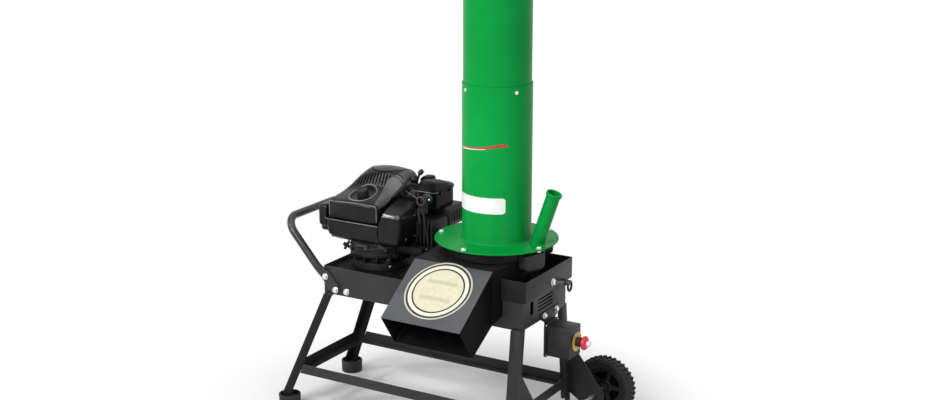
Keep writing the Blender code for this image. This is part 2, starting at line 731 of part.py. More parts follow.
def make_counter_knife(shade):
    """The fixed bar on the chamber wall that the knives cut against."""
    reach, width, thick = COUNTER_KNIFE
    low = DRUM_BOTTOM + DISC_LIFT + DISC_T + KNIFE[2] + KNIFE_CLEARANCE
    outer = (DRUM_R - DRUM_WALL) * cos(pi / ROUND_STEPS) - GAP
    half = atan2(width / 2, outer)
    turn = Matrix.Rotation(COUNTER_KNIFE_TURN, 4, "Z")
    edge = arc((0, 0), outer, -half, half, 6)
    outline = [(outer - reach, -width / 4), *edge, (outer - reach, width / 4)]
    finish("counter_knife", prism(outline, low, low + thick, turn), shade)


# Belt drive

def pulley_profile(radius, bore):
    half = PULLEY_WIDTH / 2
    groove = BELT_TOP / 2 + 0.4 * mm
    deep = BELT_DEPTH + 4 * mm
    foot = groove - deep * tan(BELT_SLANT)
    web = 3.5 * mm
    hub = bore + 9 * mm
    ring = radius - deep - 4 * mm
    return [
        (bore, -half), (hub, -half), (hub, -web), (ring, -half),
        (radius, -half), (radius, -groove), (radius - deep, -foot), (radius - deep, foot),
        (radius, groove), (radius, half), (ring, half), (hub, web), (hub, half), (bore, half),
    ]


def make_pulley(name, x, radius, bore, shade):
    place = Matrix.Translation((x, 0, PULLEY_Z))
    finish(name, turned(pulley_profile(radius, bore), place), shade, (x, 0, 0))


def belt_path(steps=10):
    """Points of the loop round both pulleys, with the way outwards at each."""
    drive, driven = DRIVE_PULLEY_R, DRIVEN_PULLEY_R
    span = -ENGINE_X
    tilt = asin((driven - drive) / span)
    points = []
    for i in range(steps + 1):
        turn = -pi / 2 - tilt + (pi + 2 * tilt) * i / steps
        points.append(((driven * cos(turn), driven * sin(turn)), (cos(turn), sin(turn))))
    for i in range(steps + 1):
        turn = pi / 2 + tilt + (pi - 2 * tilt) * i / steps
        points.append(((ENGINE_X + drive * cos(turn), drive * sin(turn)), (cos(turn), sin(turn))))
    return points


def make_belt(shade):
    half = BELT_TOP / 2
    foot = half - BELT_DEPTH * tan(BELT_SLANT)
    rise = 0.5 * mm
    bm = bmesh.new()
    rings = []
    for (x, y), (nx, ny) in belt_path():
        ring = []
        for out, z in ((rise, -half), (rise, half), (rise - BELT_DEPTH, foot), (rise - BELT_DEPTH, -foot)):
            ring.append(bm.verts.new((x + nx * out, y + ny * out, PULLEY_Z + z)))
        rings.append(ring)
    for k in range(len(rings)):
        a, b = rings[k], rings[(k + 1) % len(rings)]
        for i in range(4):
            j = (i + 1) % 4
            bm.faces.new((a[i], a[j], b[j], b[i]))
    finish("v_belt", bm, shade)


# Legs, rails and feet

def leg_face_y(z):
    """Outer face of the front legs, as a distance from the middle plane."""
    return BEAM_HALF_WIDTH + LEG_OUTSET + SPLAY * (BEAM_BOTTOM - z)


def angle_section(corner, toward_x, toward_y):
    """An L from its outer corner, its legs pointing the ways given."""
    x, y = corner
    a, t = ANGLE, ANGLE_T
    return [
        (x, y), (x + a * toward_x, y), (x + a * toward_x, y + t * toward_y),
        (x + t * toward_x, y + t * toward_y), (x + t * toward_x, y + a * toward_y), (x, y + a * toward_y),
    ]


def make_leg(name, corner_x, rake, side, inward, bottom, shade):
    sections = []
    for z in (bottom, BEAM_BOTTOM - GAP):
        x = corner_x - rake * (BEAM_BOTTOM - z)
        y = side * leg_face_y(z)
        sections.append([(px, py, z) for px, py in angle_section((x, y), inward, -side)])
    finish(name, loft(sections), shade)


def make_legs(shade):
    for name, side in (("front", -1), ("rear", 1)):
        make_leg(f"leg_{name}_right", RIGHT_LEG_X, 0, side, -1, RIGHT_LEG_BOTTOM, shade)
        low = FOOT_HEIGHT - FOOT_POCKET + GAP
        make_leg(f"leg_{name}_left", LEFT_LEG_X, RAKE, side, 1, low, shade)


def left_leg_x(z):
    return LEFT_LEG_X - RAKE * (BEAM_BOTTOM - z)


def make_long_rail(name, side, shade):
    """A rail between the flanges of the left and right legs, its foot turned inwards."""
    face = leg_face_y(RAIL_TOP - ANGLE / 2)
    rows = []
    for y, z in ((face, RAIL_TOP), (face, RAIL_TOP - ANGLE), (face - ANGLE, RAIL_TOP - ANGLE),
                 (face - ANGLE, RAIL_TOP - ANGLE + ANGLE_T), (face - ANGLE_T, RAIL_TOP - ANGLE + ANGLE_T),
                 (face - ANGLE_T, RAIL_TOP)):
        rows.append((side * y, z))
    left = [(left_leg_x(z) + ANGLE + GAP * 2, y, z) for y, z in rows]
    right = [(RIGHT_LEG_X - ANGLE - GAP, y, z) for y, z in rows]
    finish(name, loft([left, right]), shade)


def make_cross_rail(name, x, way, shade):
    """A rail from the front leg to the rear leg, its foot turned towards the middle of the machine."""
    low, high = RAIL_TOP - ANGLE, RAIL_TOP
    reach = leg_face_y(high) - ANGLE - GAP * 2
    rows = [
        (x, high), (x, low), (x + way * ANGLE, low), (x + way * ANGLE, low + ANGLE_T),
        (x + way * ANGLE_T, low + ANGLE_T), (x + way * ANGLE_T, high),
    ]
    finish(name, loft([[(px, s * reach, pz) for px, pz in rows] for s in (-1, 1)]), shade)


def make_rails(shade):
    make_long_rail("rail_front", -1, shade)
    make_long_rail("rail_rear", 1, shade)
    make_cross_rail("rail_left", left_leg_x(RAIL_TOP) + 1 * mm, 1, shade)
    make_cross_rail("rail_right", RIGHT_LEG_X, -1, shade)


def make_foot(name, side, shade):
    x = FOOT_X
    y = side * (leg_face_y(FOOT_LEVEL) - ANGLE / 2)
    r, h = FOOT_R, FOOT_HEIGHT
    profile = [
        (0, 0), (r - 3 * mm, 0), (r - 1 * mm, 2 * mm), (r - 1 * mm, h - 8 * mm),
        (r, h - 6 * mm), (r, h - 2 * mm), (r - 2 * mm, h), (FOOT_POCKET_R, h),
        (FOOT_POCKET_R, h - FOOT_POCKET), (0, h - FOOT_POCKET),
    ]
    finish(name, turned(profile, Matrix.Translation((x, y, 0)), 16, closed=False), shade)


# Wheels and axle

def bracket_outline():
    """In (x, z): from the leg, over the slanted edge, round the axle and back."""
    left = RIGHT_LEG_X + GAP
    tip = arc((AXLE_X, WHEEL_R), BRACKET_TIP_R, radians(38), radians(-128), 10)
    return [(left, WHEEL_R + 183 * mm), *tip, (205 * mm, 62 * mm), (left, 92 * mm)]


def make_wheel_bracket(name, side, shade):
    sections = []
    for deep in (0, BRACKET_T):
        ring = []
        for x, z in bracket_outline():
            ring.append((x, side * (leg_face_y(z) - deep), z))
        sections.append(ring)
    plate = finish(name, loft(sections), shade)
    wide = 2 * BEAM_HALF_WIDTH
    hole = turned([(0, -wide), (AXLE_R + GAP, -wide), (AXLE_R + GAP, wide), (0, wide)],
                  along((AXLE_X, 0, WHEEL_R), (0, 1, 0)), 16, closed=False)
    cut(plate, f"{name}_hole", hole)


def make_axle(shade):
    reach = AXLE_END
    profile = [(0, -reach), (AXLE_R - 1 * mm, -reach), (AXLE_R, -reach + 1 * mm),
               (AXLE_R, reach - 1 * mm), (AXLE_R - 1 * mm, reach), (0, reach)]
    finish("wheel_axle", turned(profile, along((AXLE_X, 0, WHEEL_R), (0, 1, 0)), 16, closed=False), shade)


def make_tyre(name, side, shade):
    """A tyre whose outer points step in and out round the wheel, which makes the tread blocks."""
    half = TYRE_WIDTH / 2
    seat = (RIM_OUTER_R + GAP) / cos(0.21 * 2 * pi / TREAD_BLOCKS)
    profile = [
        (seat, -half + 8 * mm), (seat + 16 * mm, -half), (WHEEL_R - 2 * mm, -half + 7 * mm),
        (WHEEL_R, -4 * mm), (WHEEL_R, 4 * mm), (WHEEL_R - 2 * mm, half - 7 * mm),
        (seat + 16 * mm, half), (seat, half - 8 * mm),
    ]
    shoulder, crown = (2, 5), (3, 4)
    sections = []
    for k in range(TREAD_BLOCKS):
        for share, raised in ((0, True), (0.42, True), (0.5, False), (0.92, False)):
            turn = 2 * pi * (k + share) / TREAD_BLOCKS
            ring = []
            for index, (r, z) in enumerate(profile):
                sunk = (index in shoulder and not raised) or (index in crown and raised)
                if sunk:
                    r -= TREAD_DEPTH
                ring.append((r * cos(turn), r * sin(turn), z))
            sections.append(ring)
    bm = loft(sections + sections[:1], capped=False)
    bmesh.ops.remove_doubles(bm, verts=bm.verts, dist=1e-6)
    bm.transform(along((AXLE_X, side * WHEEL_Y, WHEEL_R), (0, side, 0)))
    finish(name, bm, shade, (AXLE_X, 0, WHEEL_R))


def make_rim(name, side, shade):
    """Hub, spokes and well of one plastic wheel."""
    half = TYRE_WIDTH / 2 - 8 * mm
    hub = HUB_WIDTH / 2
    bore = AXLE_R + GAP
    web = 4 * mm
    r = RIM_OUTER_R
    profile = [
        (bore, -hub), (WHEEL_HUB_R - 2 * mm, -hub), (WHEEL_HUB_R, -web),
        (r - 9 * mm, -web), (r - 6 * mm, -half), (r, -half), (r, half), (r - 6 * mm, half),
        (r - 9 * mm, web), (WHEEL_HUB_R, web), (WHEEL_HUB_R - 2 * mm, hub), (bore, hub),
    ]
    place = along((AXLE_X, side * WHEEL_Y, WHEEL_R), (0, side, 0))
    rim = finish(name, turned(profile, place), shade, (AXLE_X, 0, WHEEL_R))
    windows = bmesh.new()
    low, high = WHEEL_HUB_R + 5 * mm, r - 14 * mm
    spoke = 7 * mm
    for k in range(SPOKES):
        middle = 2 * pi * (k + 0.5) / SPOKES
        share = pi / SPOKES
        inner = share - spoke / low
        outer = share - spoke / high
        outline = arc((0, 0), low, middle - inner, middle + inner, 2)
        outline += arc((0, 0), high, middle + outer, middle - outer, 4)
        add_prism(windows, outline, -2 * web, 2 * web, place)
    cut(rim, f"{name}_windows", windows)


# Push handle

def handle_route():
    """Centre line of one arm and half the cross part, with the flattening at each point."""
    wall = BEAM_HALF_WIDTH + GAP
    flat_y = wall + HANDLE_FLAT / 2
    round_y = wall + HANDLE_R
    start, top = Vector(HANDLE_END), Vector(HANDLE_TOP)
    run = (top - start).normalized()
    length = (top - start).length
    points = []
    for distance, share in ((0, 0), (66 * mm, 0), (78 * mm, 0.35), (92 * mm, 0.8), (108 * mm, 1)):
        spot = start + run * distance
        y = flat_y + (round_y - flat_y) * share
        points.append((Vector((spot.x, -y, spot.y)), share))
    straight = length - HANDLE_BEND_R
    spot = start + run * straight
    centre = Vector((spot.x, -(round_y - HANDLE_BEND_R), spot.y))
    lead = Vector((run.x, 0, run.y))
    for i in range(9):
        turn = pi / 2 * i / 8
        offset = Vector((0, -1, 0)) * cos(turn) * HANDLE_BEND_R + lead * sin(turn) * HANDLE_BEND_R
        points.append((centre + offset, 1))
    return points


def make_handle(shade):
    half = handle_route()
    mirrored = [(Vector((p.x, -p.y, p.z)), share) for p, share in reversed(half)]
    route = half + mirrored
    sides = 8
    sections = []
    arm = Vector((HANDLE_TOP[0] - HANDLE_END[0], 0, HANDLE_TOP[1] - HANDLE_END[1])).normalized()
    out_of_plane = Vector((0, 1, 0)).cross(arm).normalized()
    for k, (spot, share) in enumerate(route):
        before = route[max(k - 1, 0)][0]
        after = route[min(k + 1, len(route) - 1)][0]
        way = (after - before).normalized()
        if share < 1:
            way = arm if spot.y < 0 else -arm
        across = out_of_plane
        beside = way.cross(across).normalized()
        wide = HANDLE_FLAT_WIDTH / 2 + (HANDLE_R - HANDLE_FLAT_WIDTH / 2) * share
        thick = HANDLE_FLAT / 2 + (HANDLE_R - HANDLE_FLAT / 2) * share
        power = 0.45 + 0.55 * share
        ring = []
        for i in range(sides):
            turn = 2 * pi * (i + 0.5) / sides
            c, s = cos(turn), sin(turn)
            a = wide * (abs(c) ** power) * (1 if c > 0 else -1)
            b = thick * (abs(s) ** power) * (1 if s > 0 else -1)
            ring.append(spot + across * a + beside * b)
        sections.append(ring)
    finish("push_handle", loft(sections), shade)


# Emergency stop

def around_stop(width, height):
    """Limits in Y and Z of something as large as this about the middle of the stop box."""
    y, z = STOP_BOX_Y, STOP_BOX_Z
    return y - width / 2, y + width / 2, z - height / 2, z + height / 2


def stop_box_left():
    return BEAM_RIGHT + GAP + STOP_PLATE_T + GAP + STOP_LID_T + GAP


def make_stop_plate(shade):
    x0 = BEAM_RIGHT + GAP
    top = BEAM_BOTTOM + 20 * mm
    wide = STOP_BOX[1] / 2 - 3 * mm
    y, tab = STOP_BOX_Y, 60 * mm
    outline = [
        (y - tab, top), (y - tab, BEAM_BOTTOM + 2 * mm), (y - wide, BEAM_BOTTOM - 14 * mm),
        (y - wide, STOP_BOX_Z - STOP_PLATE_RISE / 2), (y + wide, STOP_BOX_Z - STOP_PLATE_RISE / 2),
        (y + wide, BEAM_BOTTOM - 14 * mm), (y + tab, BEAM_BOTTOM + 2 * mm), (y + tab, top),
    ]
    finish("stop_bracket", prism(outline, x0, x0 + STOP_PLATE_T, FACING_X), shade)


def make_stop_box(shade):
    x0 = stop_box_left()
    length, width, height = STOP_BOX
    outline = rounded(*around_stop(width, height), 4 * mm, 2)
    box = finish("stop_box", prism(outline, x0, x0 + length, FACING_X), shade)
    w = STOP_BOX_WALL
    inside = rectangle(*around_stop(width - 2 * w, height - 2 * w))
    cut(box, "stop_box_hollow", prism(inside, x0 - w, x0 + length - w, FACING_X))
    hole = turned([(0, -w), (STOP_STEM_R + 3 * mm, -w), (STOP_STEM_R + 3 * mm, w), (0, w)],
                  along((x0 + length, STOP_BUTTON_Y, STOP_BUTTON_Z), (1, 0, 0)), 16, closed=False)
    cut(box, "stop_box_hole", hole)


def make_stop_lid(shade):
    x1 = stop_box_left() - GAP
    over = STOP_LID_OVER
    width, height = STOP_BOX[1] + 2 * over, STOP_BOX[2] + 2 * over
    outline = rounded(*around_stop(width, height), 6 * mm, 2)
    lid = finish("stop_lid", prism(outline, x1 - STOP_LID_T, x1, FACING_X), shade)
    edge = lid.modifiers.new("edge", "BEVEL")
    edge.width = 1.2 * mm
    edge.segments = 1
    edge.angle_limit = radians(60)


def make_stop_ring(shade):
    x0 = stop_box_left() + STOP_BOX[0] + GAP
    hole = STOP_COLLAR_R + GAP
    r, t = STOP_RING_R, STOP_RING_T
    profile = [(hole, 0), (r, 0), (r, t - 0.6 * mm), (r - 0.6 * mm, t), (hole, t)]
    finish("stop_ring", turned(profile, along((x0, STOP_BUTTON_Y, STOP_BUTTON_Z), (1, 0, 0))), shade)


def make_stop_collar(shade):
    """Threaded bezel that clamps the ring; its back part goes through the box wall."""
    x0 = stop_box_left() + STOP_BOX[0]
    bore = STOP_STEM_R + GAP
    neck = STOP_STEM_R + 3 * mm - GAP
    back = -STOP_BOX_WALL - 8 * mm
    profile = [
        (bore, back), (neck, back), (neck, GAP), (STOP_COLLAR_R, GAP),
        (STOP_COLLAR_R, STOP_COLLAR - 2 * mm), (STOP_COLLAR_R - 2 * mm, STOP_COLLAR), (bore, STOP_COLLAR),
    ]
    finish("stop_collar", turned(profile, along((x0, STOP_BUTTON_Y, STOP_BUTTON_Z), (1, 0, 0)), 14), shade)


def make_contact_block(shade):
    """The switch inside the box, held behind the collar."""
    x1 = stop_box_left() + STOP_BOX[0] - STOP_BOX_WALL - 8 * mm - GAP
    y, z = STOP_BUTTON_Y, STOP_BUTTON_Z
    block = bmesh.new()
    add_box(block, x1 - 30 * mm, x1, y - 17 * mm, y + 17 * mm, z - 17 * mm, z + 17 * mm)
    made = finish("contact_block", block, shade)
    well = STOP_TRAVEL + 8 * mm
    hole = turned([(0, -well), (STOP_STEM_R + GAP, -well), (STOP_STEM_R + GAP, 5 * mm), (0, 5 * mm)],
                  along((x1, y, z), (1, 0, 0)), 16, closed=False)
    cut(made, "contact_well", hole)


def make_stop_button(shade):
    x0 = stop_box_left() + STOP_BOX[0]
    back = -STOP_BOX_WALL - 8 * mm - 6 * mm
    head = STOP_COLLAR + STOP_TRAVEL + RUN
    r = STOP_HEAD_R
    profile = [
        (0, back), (STOP_STEM_R, back), (STOP_STEM_R, head), (r - 4 * mm, head), (r, head + 4 * mm),
        (r, head + 7 * mm), (r - 2 * mm, head + 11 * mm), (r - 7 * mm, head + 14 * mm),
        (7 * mm, head + STOP_HEAD),
        (0, head + STOP_HEAD),
    ]
    seat = (x0, STOP_BUTTON_Y, STOP_BUTTON_Z)
    finish("stop_button", turned(profile, along(seat, (1, 0, 0)), closed=False), shade, seat)


# Engine

def make_crankcase(shade):
    low = DECK_TOP + GAP
    ring_top = low + MOUNT_RING
    top = COWL_BOTTOM - GAP
    bore = CRANK_R + GAP
    profile = [
        (bore, low), (MOUNT_RING_R, low), (MOUNT_RING_R, ring_top - 2 * mm),
        (MOUNT_RING_R - 2 * mm, ring_top),
        (MOUNT_RING_R - 14 * mm, ring_top), (MOUNT_RING_R - 18 * mm, ring_top + 8 * mm),
        (SUMP_R - 8 * mm, ring_top + 16 * mm), (SUMP_R, ring_top + 24 * mm), (SUMP_R, top), (bore, top),
    ]
    case = finish("crankcase", turned(profile, Matrix.Translation((ENGINE_X, 0, 0))), shade)
    lugs = bmesh.new()
    for k in range(3):
        turn = radians(-40 + 120 * k)
        x, y = ENGINE_X + (MOUNT_RING_R - 8 * mm) * cos(turn), (MOUNT_RING_R - 8 * mm) * sin(turn)
        add_prism(lugs, circle(x, y, 13 * mm, 12), ring_top - 6 * mm, ring_top + 12 * mm)
    cut(case, "mount_lugs", lugs, "UNION")
    neck = [(0, -NECK_LENGTH), (12 * mm, -NECK_LENGTH), (12 * mm, 0), (0, 0)]
    place = along(dipstick_seat(0), NECK_WAY)
    cut(case, "filler_boss", turned(neck, place, 14, closed=False), "UNION")
    bore = [(0, -24 * mm), (6 * mm, -24 * mm), (6 * mm, 5 * mm), (0, 5 * mm)]
    cut(case, "filler_bore", turned(bore, place, 12, closed=False))


def make_crankshaft(shade):
    low, top = SHAFT_BOTTOM, COWL_BOTTOM + 46 * mm
    r = CRANK_R
    edge = 1 * mm
    axis = (ENGINE_X, 0, 0)
    profile = [(0, low), (r - edge, low), (r, low + edge), (r, top - edge), (r - edge, top), (0, top)]
    finish("crankshaft", turned(profile, Matrix.Translation(axis), closed=False), shade, axis)


def make_flywheel(shade):
    """The cast flywheel with the blades that draw air through the grille."""
    low = COWL_BOTTOM + 12 * mm
    r, t = FLYWHEEL_R, FLYWHEEL_T
    bore = CRANK_R + GAP
    profile = [
        (bore, low), (r, low), (r, low + t), (r - 10 * mm, low + t), (r - 14 * mm, low + 8 * mm),
        (bore + 12 * mm, low + 8 * mm), (bore + 9 * mm, low + t + 6 * mm), (bore, low + t + 6 * mm),
    ]
    axis = (ENGINE_X, 0, 0)
    wheel = finish("flywheel", turned(profile, Matrix.Translation(axis)), shade, axis)
    blades = bmesh.new()
    for k in range(FAN_BLADES):
        turn = Matrix.Translation((ENGINE_X, 0, 0)) @ Matrix.Rotation(2 * pi * k / FAN_BLADES, 4, "Z")
        foot, tip = r - 30 * mm, r - 2 * mm
        outline = [(foot, -1.5 * mm), (tip, 4 * mm), (tip, 7 * mm), (foot, 1.5 * mm)]
        add_prism(blades, outline, low + 4 * mm, low + t + 14 * mm, turn)
    cut(wheel, "fan_blades", blades, "UNION")


def cowl_ring(x0, x1, y0, y1, z, radius):
    """A rounded rectangle at a height."""
    return [(x, y, z) for x, y in rounded(x0, x1, y0, y1, radius, 3)]


def make_cowl(shade):
    """The lower engine shroud, with its lip under the tank and a well for the flywheel."""
    b, left, seam = COWL_BOTTOM, COWL_LEFT, COWL_SEAM
    front, back = COWL_FRONT, COWL_BACK
    sections = [
        cowl_ring(left + 28 * mm, seam, front + 12 * mm, back - 14 * mm, b, 20 * mm),
        cowl_ring(left + 8 * mm, seam, front + 2 * mm, back - 2 * mm, b + 14 * mm, 20 * mm),
        cowl_ring(left + 4 * mm, seam, front, back, COWL_LIP - 6 * mm, 20 * mm),
        cowl_ring(left, seam, front - 3 * mm, back + 3 * mm, COWL_LIP, 20 * mm),
    ]
    cowl = finish("engine_cowl", loft(sections), shade)
    cut_flywheel_well(cowl)
    channel = [(0, -5 * mm), (ROPE_R + 1 * mm, -5 * mm), (ROPE_R + 1 * mm, 120 * mm), (0, 120 * mm)]
    place = along((left, STARTER_Y, STARTER_Z), (1, 0, 0))
    cut(cowl, "rope_channel", turned(channel, place, 12, closed=False))


def cut_flywheel_well(part):
    outline = circle(ENGINE_X, 0, COWL_WELL_R, 24)
    cut(part, part.name + "_well", prism(outline, COWL_BOTTOM - 10 * mm, COWL_LIP + 10 * mm))


def rounding(start, end, out):
    """The middle of an edge, pushed outwards."""
    dx, dz = end[0] - start[0], end[1] - start[1]
    length = hypot(dx, dz)
    return ((start[0] + end[0]) / 2 + out * dz / length, (start[1] + end[1]) / 2 - out * dx / length)


def cover_section(y, left, left_top, right_top, right):
    """A slice of the upper cover at one Y, from corners (x, z) with x measured off the crank."""
    low = COWL_LIP + GAP
    foot = min(right[0], COWL_SEAM - ENGINE_X - 2 * mm)
    waist = right[1] - 0.9 * (right[0] - foot) - 8 * mm
    points = [
        (left[0], low), (foot, low), (foot, waist), right, rounding(right, right_top, 5 * mm),
        right_top, rounding(right_top, left_top, 2 * mm), left_top, rounding(left_top, left, 4 * mm), left,
    ]
    return [(ENGINE_X + x, y, z) for x, z in points]


def make_tank(shade):
    """The upper cover: the tank in its front, the slotted slope behind the cap and the flat top."""
    t, d = TANK_TOP, DOME_TOP
    sections = [
        cover_section(
            -105 * mm, (-105 * mm, t - 30 * mm), (-97 * mm, t - 20 * mm),
            (20 * mm, t - 22 * mm), (28 * mm, t - 34 * mm),
        ),
        cover_section(
            -101 * mm, (-123 * mm, t - 28 * mm), (-115 * mm, t - 15 * mm),
            (38 * mm, t - 17 * mm), (50 * mm, t - 30 * mm),
        ),
        cover_section(
            -90 * mm, (-135 * mm, t - 26 * mm), (-124 * mm, t - 9 * mm),
            (39 * mm, t - 9 * mm), (57 * mm, t - 25 * mm),
        ),
        cover_section(
            -50 * mm, (-139 * mm, t - 22 * mm), (-124 * mm, t + 5 * mm),
            (31 * mm, t + 4 * mm), (60 * mm, t - 14 * mm),
        ),
        cover_section(
            -14 * mm, (-139 * mm, t - 16 * mm), (-119 * mm, t + 15 * mm),
            (21 * mm, t + 14 * mm), (61 * mm, t + 6 * mm),
        ),
        cover_section(
            4 * mm, (-136 * mm, t - 12 * mm), (-70 * mm, t + 46 * mm),
            (29 * mm, t + 46 * mm), (74 * mm, t + 26 * mm),
        ),
        cover_section(
            14 * mm, (-135 * mm, t - 10 * mm), (-65 * mm, d - 17 * mm),
            (55 * mm, d - 9 * mm), (81 * mm, d - 32 * mm),
        ),
        cover_section(
            40 * mm, (-135 * mm, t - 10 * mm), (-67 * mm, d - 8 * mm),
            (69 * mm, d), (92 * mm, d - 15 * mm),
        ),
        cover_section(
            75 * mm, (-133 * mm, t - 13 * mm), (-71 * mm, d - 8 * mm),
            (65 * mm, d - 3 * mm), (87 * mm, d - 24 * mm),
        ),
        cover_section(
            110 * mm, (-127 * mm, t - 22 * mm), (-75 * mm, d - 28 * mm),
            (53 * mm, d - 24 * mm), (72 * mm, d - 58 * mm),
        ),
        cover_section(
            134 * mm, (-103 * mm, t - 38 * mm), (-83 * mm, t - 8 * mm),
            (37 * mm, t - 8 * mm), (57 * mm, t - 30 * mm),
        ),
    ]
    tank = finish("tank_cover", loft(sections), shade)
    well = prism(circle(ENGINE_X, 0, TANK_WELL_R, 20), COWL_LIP - 10 * mm, TANK_TOP - 24 * mm)
    cut(tank, "tank_well", well)
    slots = bmesh.new()
    pitch = GRILLE_WIDTH / GRILLE_SLOTS
    for k in range(GRILLE_SLOTS):
        x = GRILLE_X + (k - (GRILLE_SLOTS - 1) / 2) * pitch
        add_box(slots, x - GRILLE_SLOT / 2, x + GRILLE_SLOT / 2, -8 * mm, 15 * mm, t - 6 * mm, d + 10 * mm)
    cut(tank, "grille_slots", slots)
    seat = [(0, 0), (CAP_WELL_R, 0), (CAP_WELL_R, 50 * mm), (0, 50 * mm)]
    cut(tank, "cap_well", turned(seat, cap_place(), 20, closed=False))
    neck = [(0, -14 * mm), (CAP_R - 5 * mm, -14 * mm), (CAP_R - 5 * mm, 2 * mm), (0, 2 * mm)]
    cut(tank, "filler_neck", turned(neck, cap_place(), closed=False))


def cap_axis():
    return (0, -sin(TANK_SLOPE), cos(TANK_SLOPE))


def cap_place():
    """On the floor of the well round the fuel cap, square to the sloping top."""
    return along((CAP_X, CAP_Y, CAP_Z), cap_axis())


def make_fuel_cap(shade):
    r, h = CAP_R, CAP_HEIGHT
    neck = CAP_R - 5 * mm - GAP
    profile = [
        (0, -10 * mm), (neck, -10 * mm), (neck, GAP), (r, GAP), (r, h - 3 * mm), (r - 3 * mm, h), (0, h),
    ]
    finish("fuel_cap", turned(profile, cap_place(), closed=False), shade, (CAP_X, CAP_Y, CAP_Z))


def side_ring(back, inset, level, climbs):
    """One ring of the side cover. A climbing one rises to the back, most of all beside the tank."""
    left, right = SIDE_COWL_LEFT, SIDE_COWL_RIGHT
    points = []
    for x, y in rounded(left, right - inset, COWL_FRONT + inset, back - inset, 14 * mm, 2):
        rise = 0
        if climbs:
            share = (y - COWL_FRONT) / (back - COWL_FRONT)
            rise = share * (SIDE_CLIMB + SIDE_TWIST * (right - x) / (right - left))
        points.append((x, y, level + rise))
    return points


def make_side_cowl(shade):
    """The cover beside the tank, down to the shroud's underside, with a low shelf under the filter."""
    b, top, crest = COWL_BOTTOM, SIDE_EDGE, SIDE_CREST
    shelf = [
        side_ring(COWL_BACK, 16 * mm, b, False), side_ring(COWL_BACK, 5 * mm, b + 12 * mm, False),
        side_ring(COWL_BACK, 0, b + 32 * mm, False), side_ring(COWL_BACK, 0, FILTER_LOW - GAP, False),
    ]
    cover = finish("side_cowl", loft(shelf), shade)
    rise = [
        side_ring(crest, 0, COWL_LIP, False), side_ring(crest, 0, top - 6 * mm, True),
        side_ring(crest, 2 * mm, top - 1 * mm, True), side_ring(crest, 7 * mm, top + 1 * mm, True),
        side_ring(crest, 34 * mm, top + 4 * mm, True),
    ]
    cut(cover, "side_cover_top", loft(rise), "UNION")
    cut_flywheel_well(cover)


def make_cylinder(shade):
    """Cylinder and head with upright cooling fins, beside the shroud."""
    x0, x1 = CYLINDER_LEFT, CYLINDER_RIGHT
    y0, y1 = CYLINDER_Y - CYLINDER_HALF, CYLINDER_Y + CYLINDER_HALF
    core = rounded(x0, x1, y0 + 12 * mm, y1 - 12 * mm, 8 * mm, 1)
    block = finish("cylinder_head", prism(core, CYLINDER_LOW + 4 * mm, CYLINDER_HIGH - 4 * mm), shade)
    fins = bmesh.new()
    pitch = (x1 - x0 - FIN_T) / (FIN_COUNT - 1)
    for k in range(FIN_COUNT):
        x = x0 + k * pitch
        outline = rounded(y0, y1, CYLINDER_LOW, CYLINDER_HIGH, 10 * mm, 1)
        add_prism(fins, outline, x, x + FIN_T, FACING_X)
    cut(block, "fins", fins, "UNION")


def make_carburettor(shade):
    """The mixing body in front of the air filter, with its two flanges and the float bowl below."""
    length = CARBURETTOR_LENGTH
    profile = [
        (0, 0), (18 * mm, 0), (18 * mm, 5 * mm), (13 * mm, 7 * mm), (13 * mm, length - 9 * mm),
        (17 * mm, length - 6 * mm), (17 * mm, length), (10 * mm, length), (10 * mm, 9 * mm), (0, 9 * mm),
    ]
    start = (CARBURETTOR_X, FILTER_FRONT + FILTER_RIM - GAP, CARBURETTOR_Z)
    body = finish("carburettor", turned(profile, along(start, (0, -1, 0)), 12, closed=False), shade)
    bowl = [(0, -44 * mm), (8 * mm, -44 * mm), (13 * mm, -38 * mm), (13 * mm, -8 * mm), (0, -8 * mm)]
    place = Matrix.Translation((CARBURETTOR_X, FILTER_FRONT - length / 2, CARBURETTOR_Z))
    cut(body, "float_bowl", turned(bowl, place, 10, closed=False), "UNION")


def filter_ring(inset, level, arch=0):
    """One ring of the filter box, raised in the middle of its width by an arch."""
    x0, x1 = FILTER_LEFT + inset, FILTER_RIGHT - inset
    y0, y1 = FILTER_FRONT + inset, FILTER_BACK - inset
    middle, half = (x0 + x1) / 2, (x1 - x0) / 2
    points = []
    for x, y in rounded(x0, x1, y0, y1, FILTER_CORNER - inset / 2, 4):
        points.append((x, y, level + arch * (1 - ((x - middle) / half) ** 2)))
    return points


def make_air_filter(shade):
    """The filter box behind the side cover, with an arched rim and a crowned top."""
    low, edge, high = FILTER_LOW, FILTER_EDGE, FILTER_HIGH
    arch = FILTER_ARCH
    sections = [
        filter_ring(7 * mm, low), filter_ring(FILTER_RIM, low + 7 * mm),
        filter_ring(FILTER_RIM, edge - 5 * mm, arch), filter_ring(0, edge - 4 * mm, arch),
        filter_ring(0, edge, arch), filter_ring(5 * mm, edge + 11 * mm, arch),
        filter_ring(15 * mm, high - 6 * mm, arch / 3), filter_ring(34 * mm, high),
    ]
    finish("air_filter", loft(sections), shade)


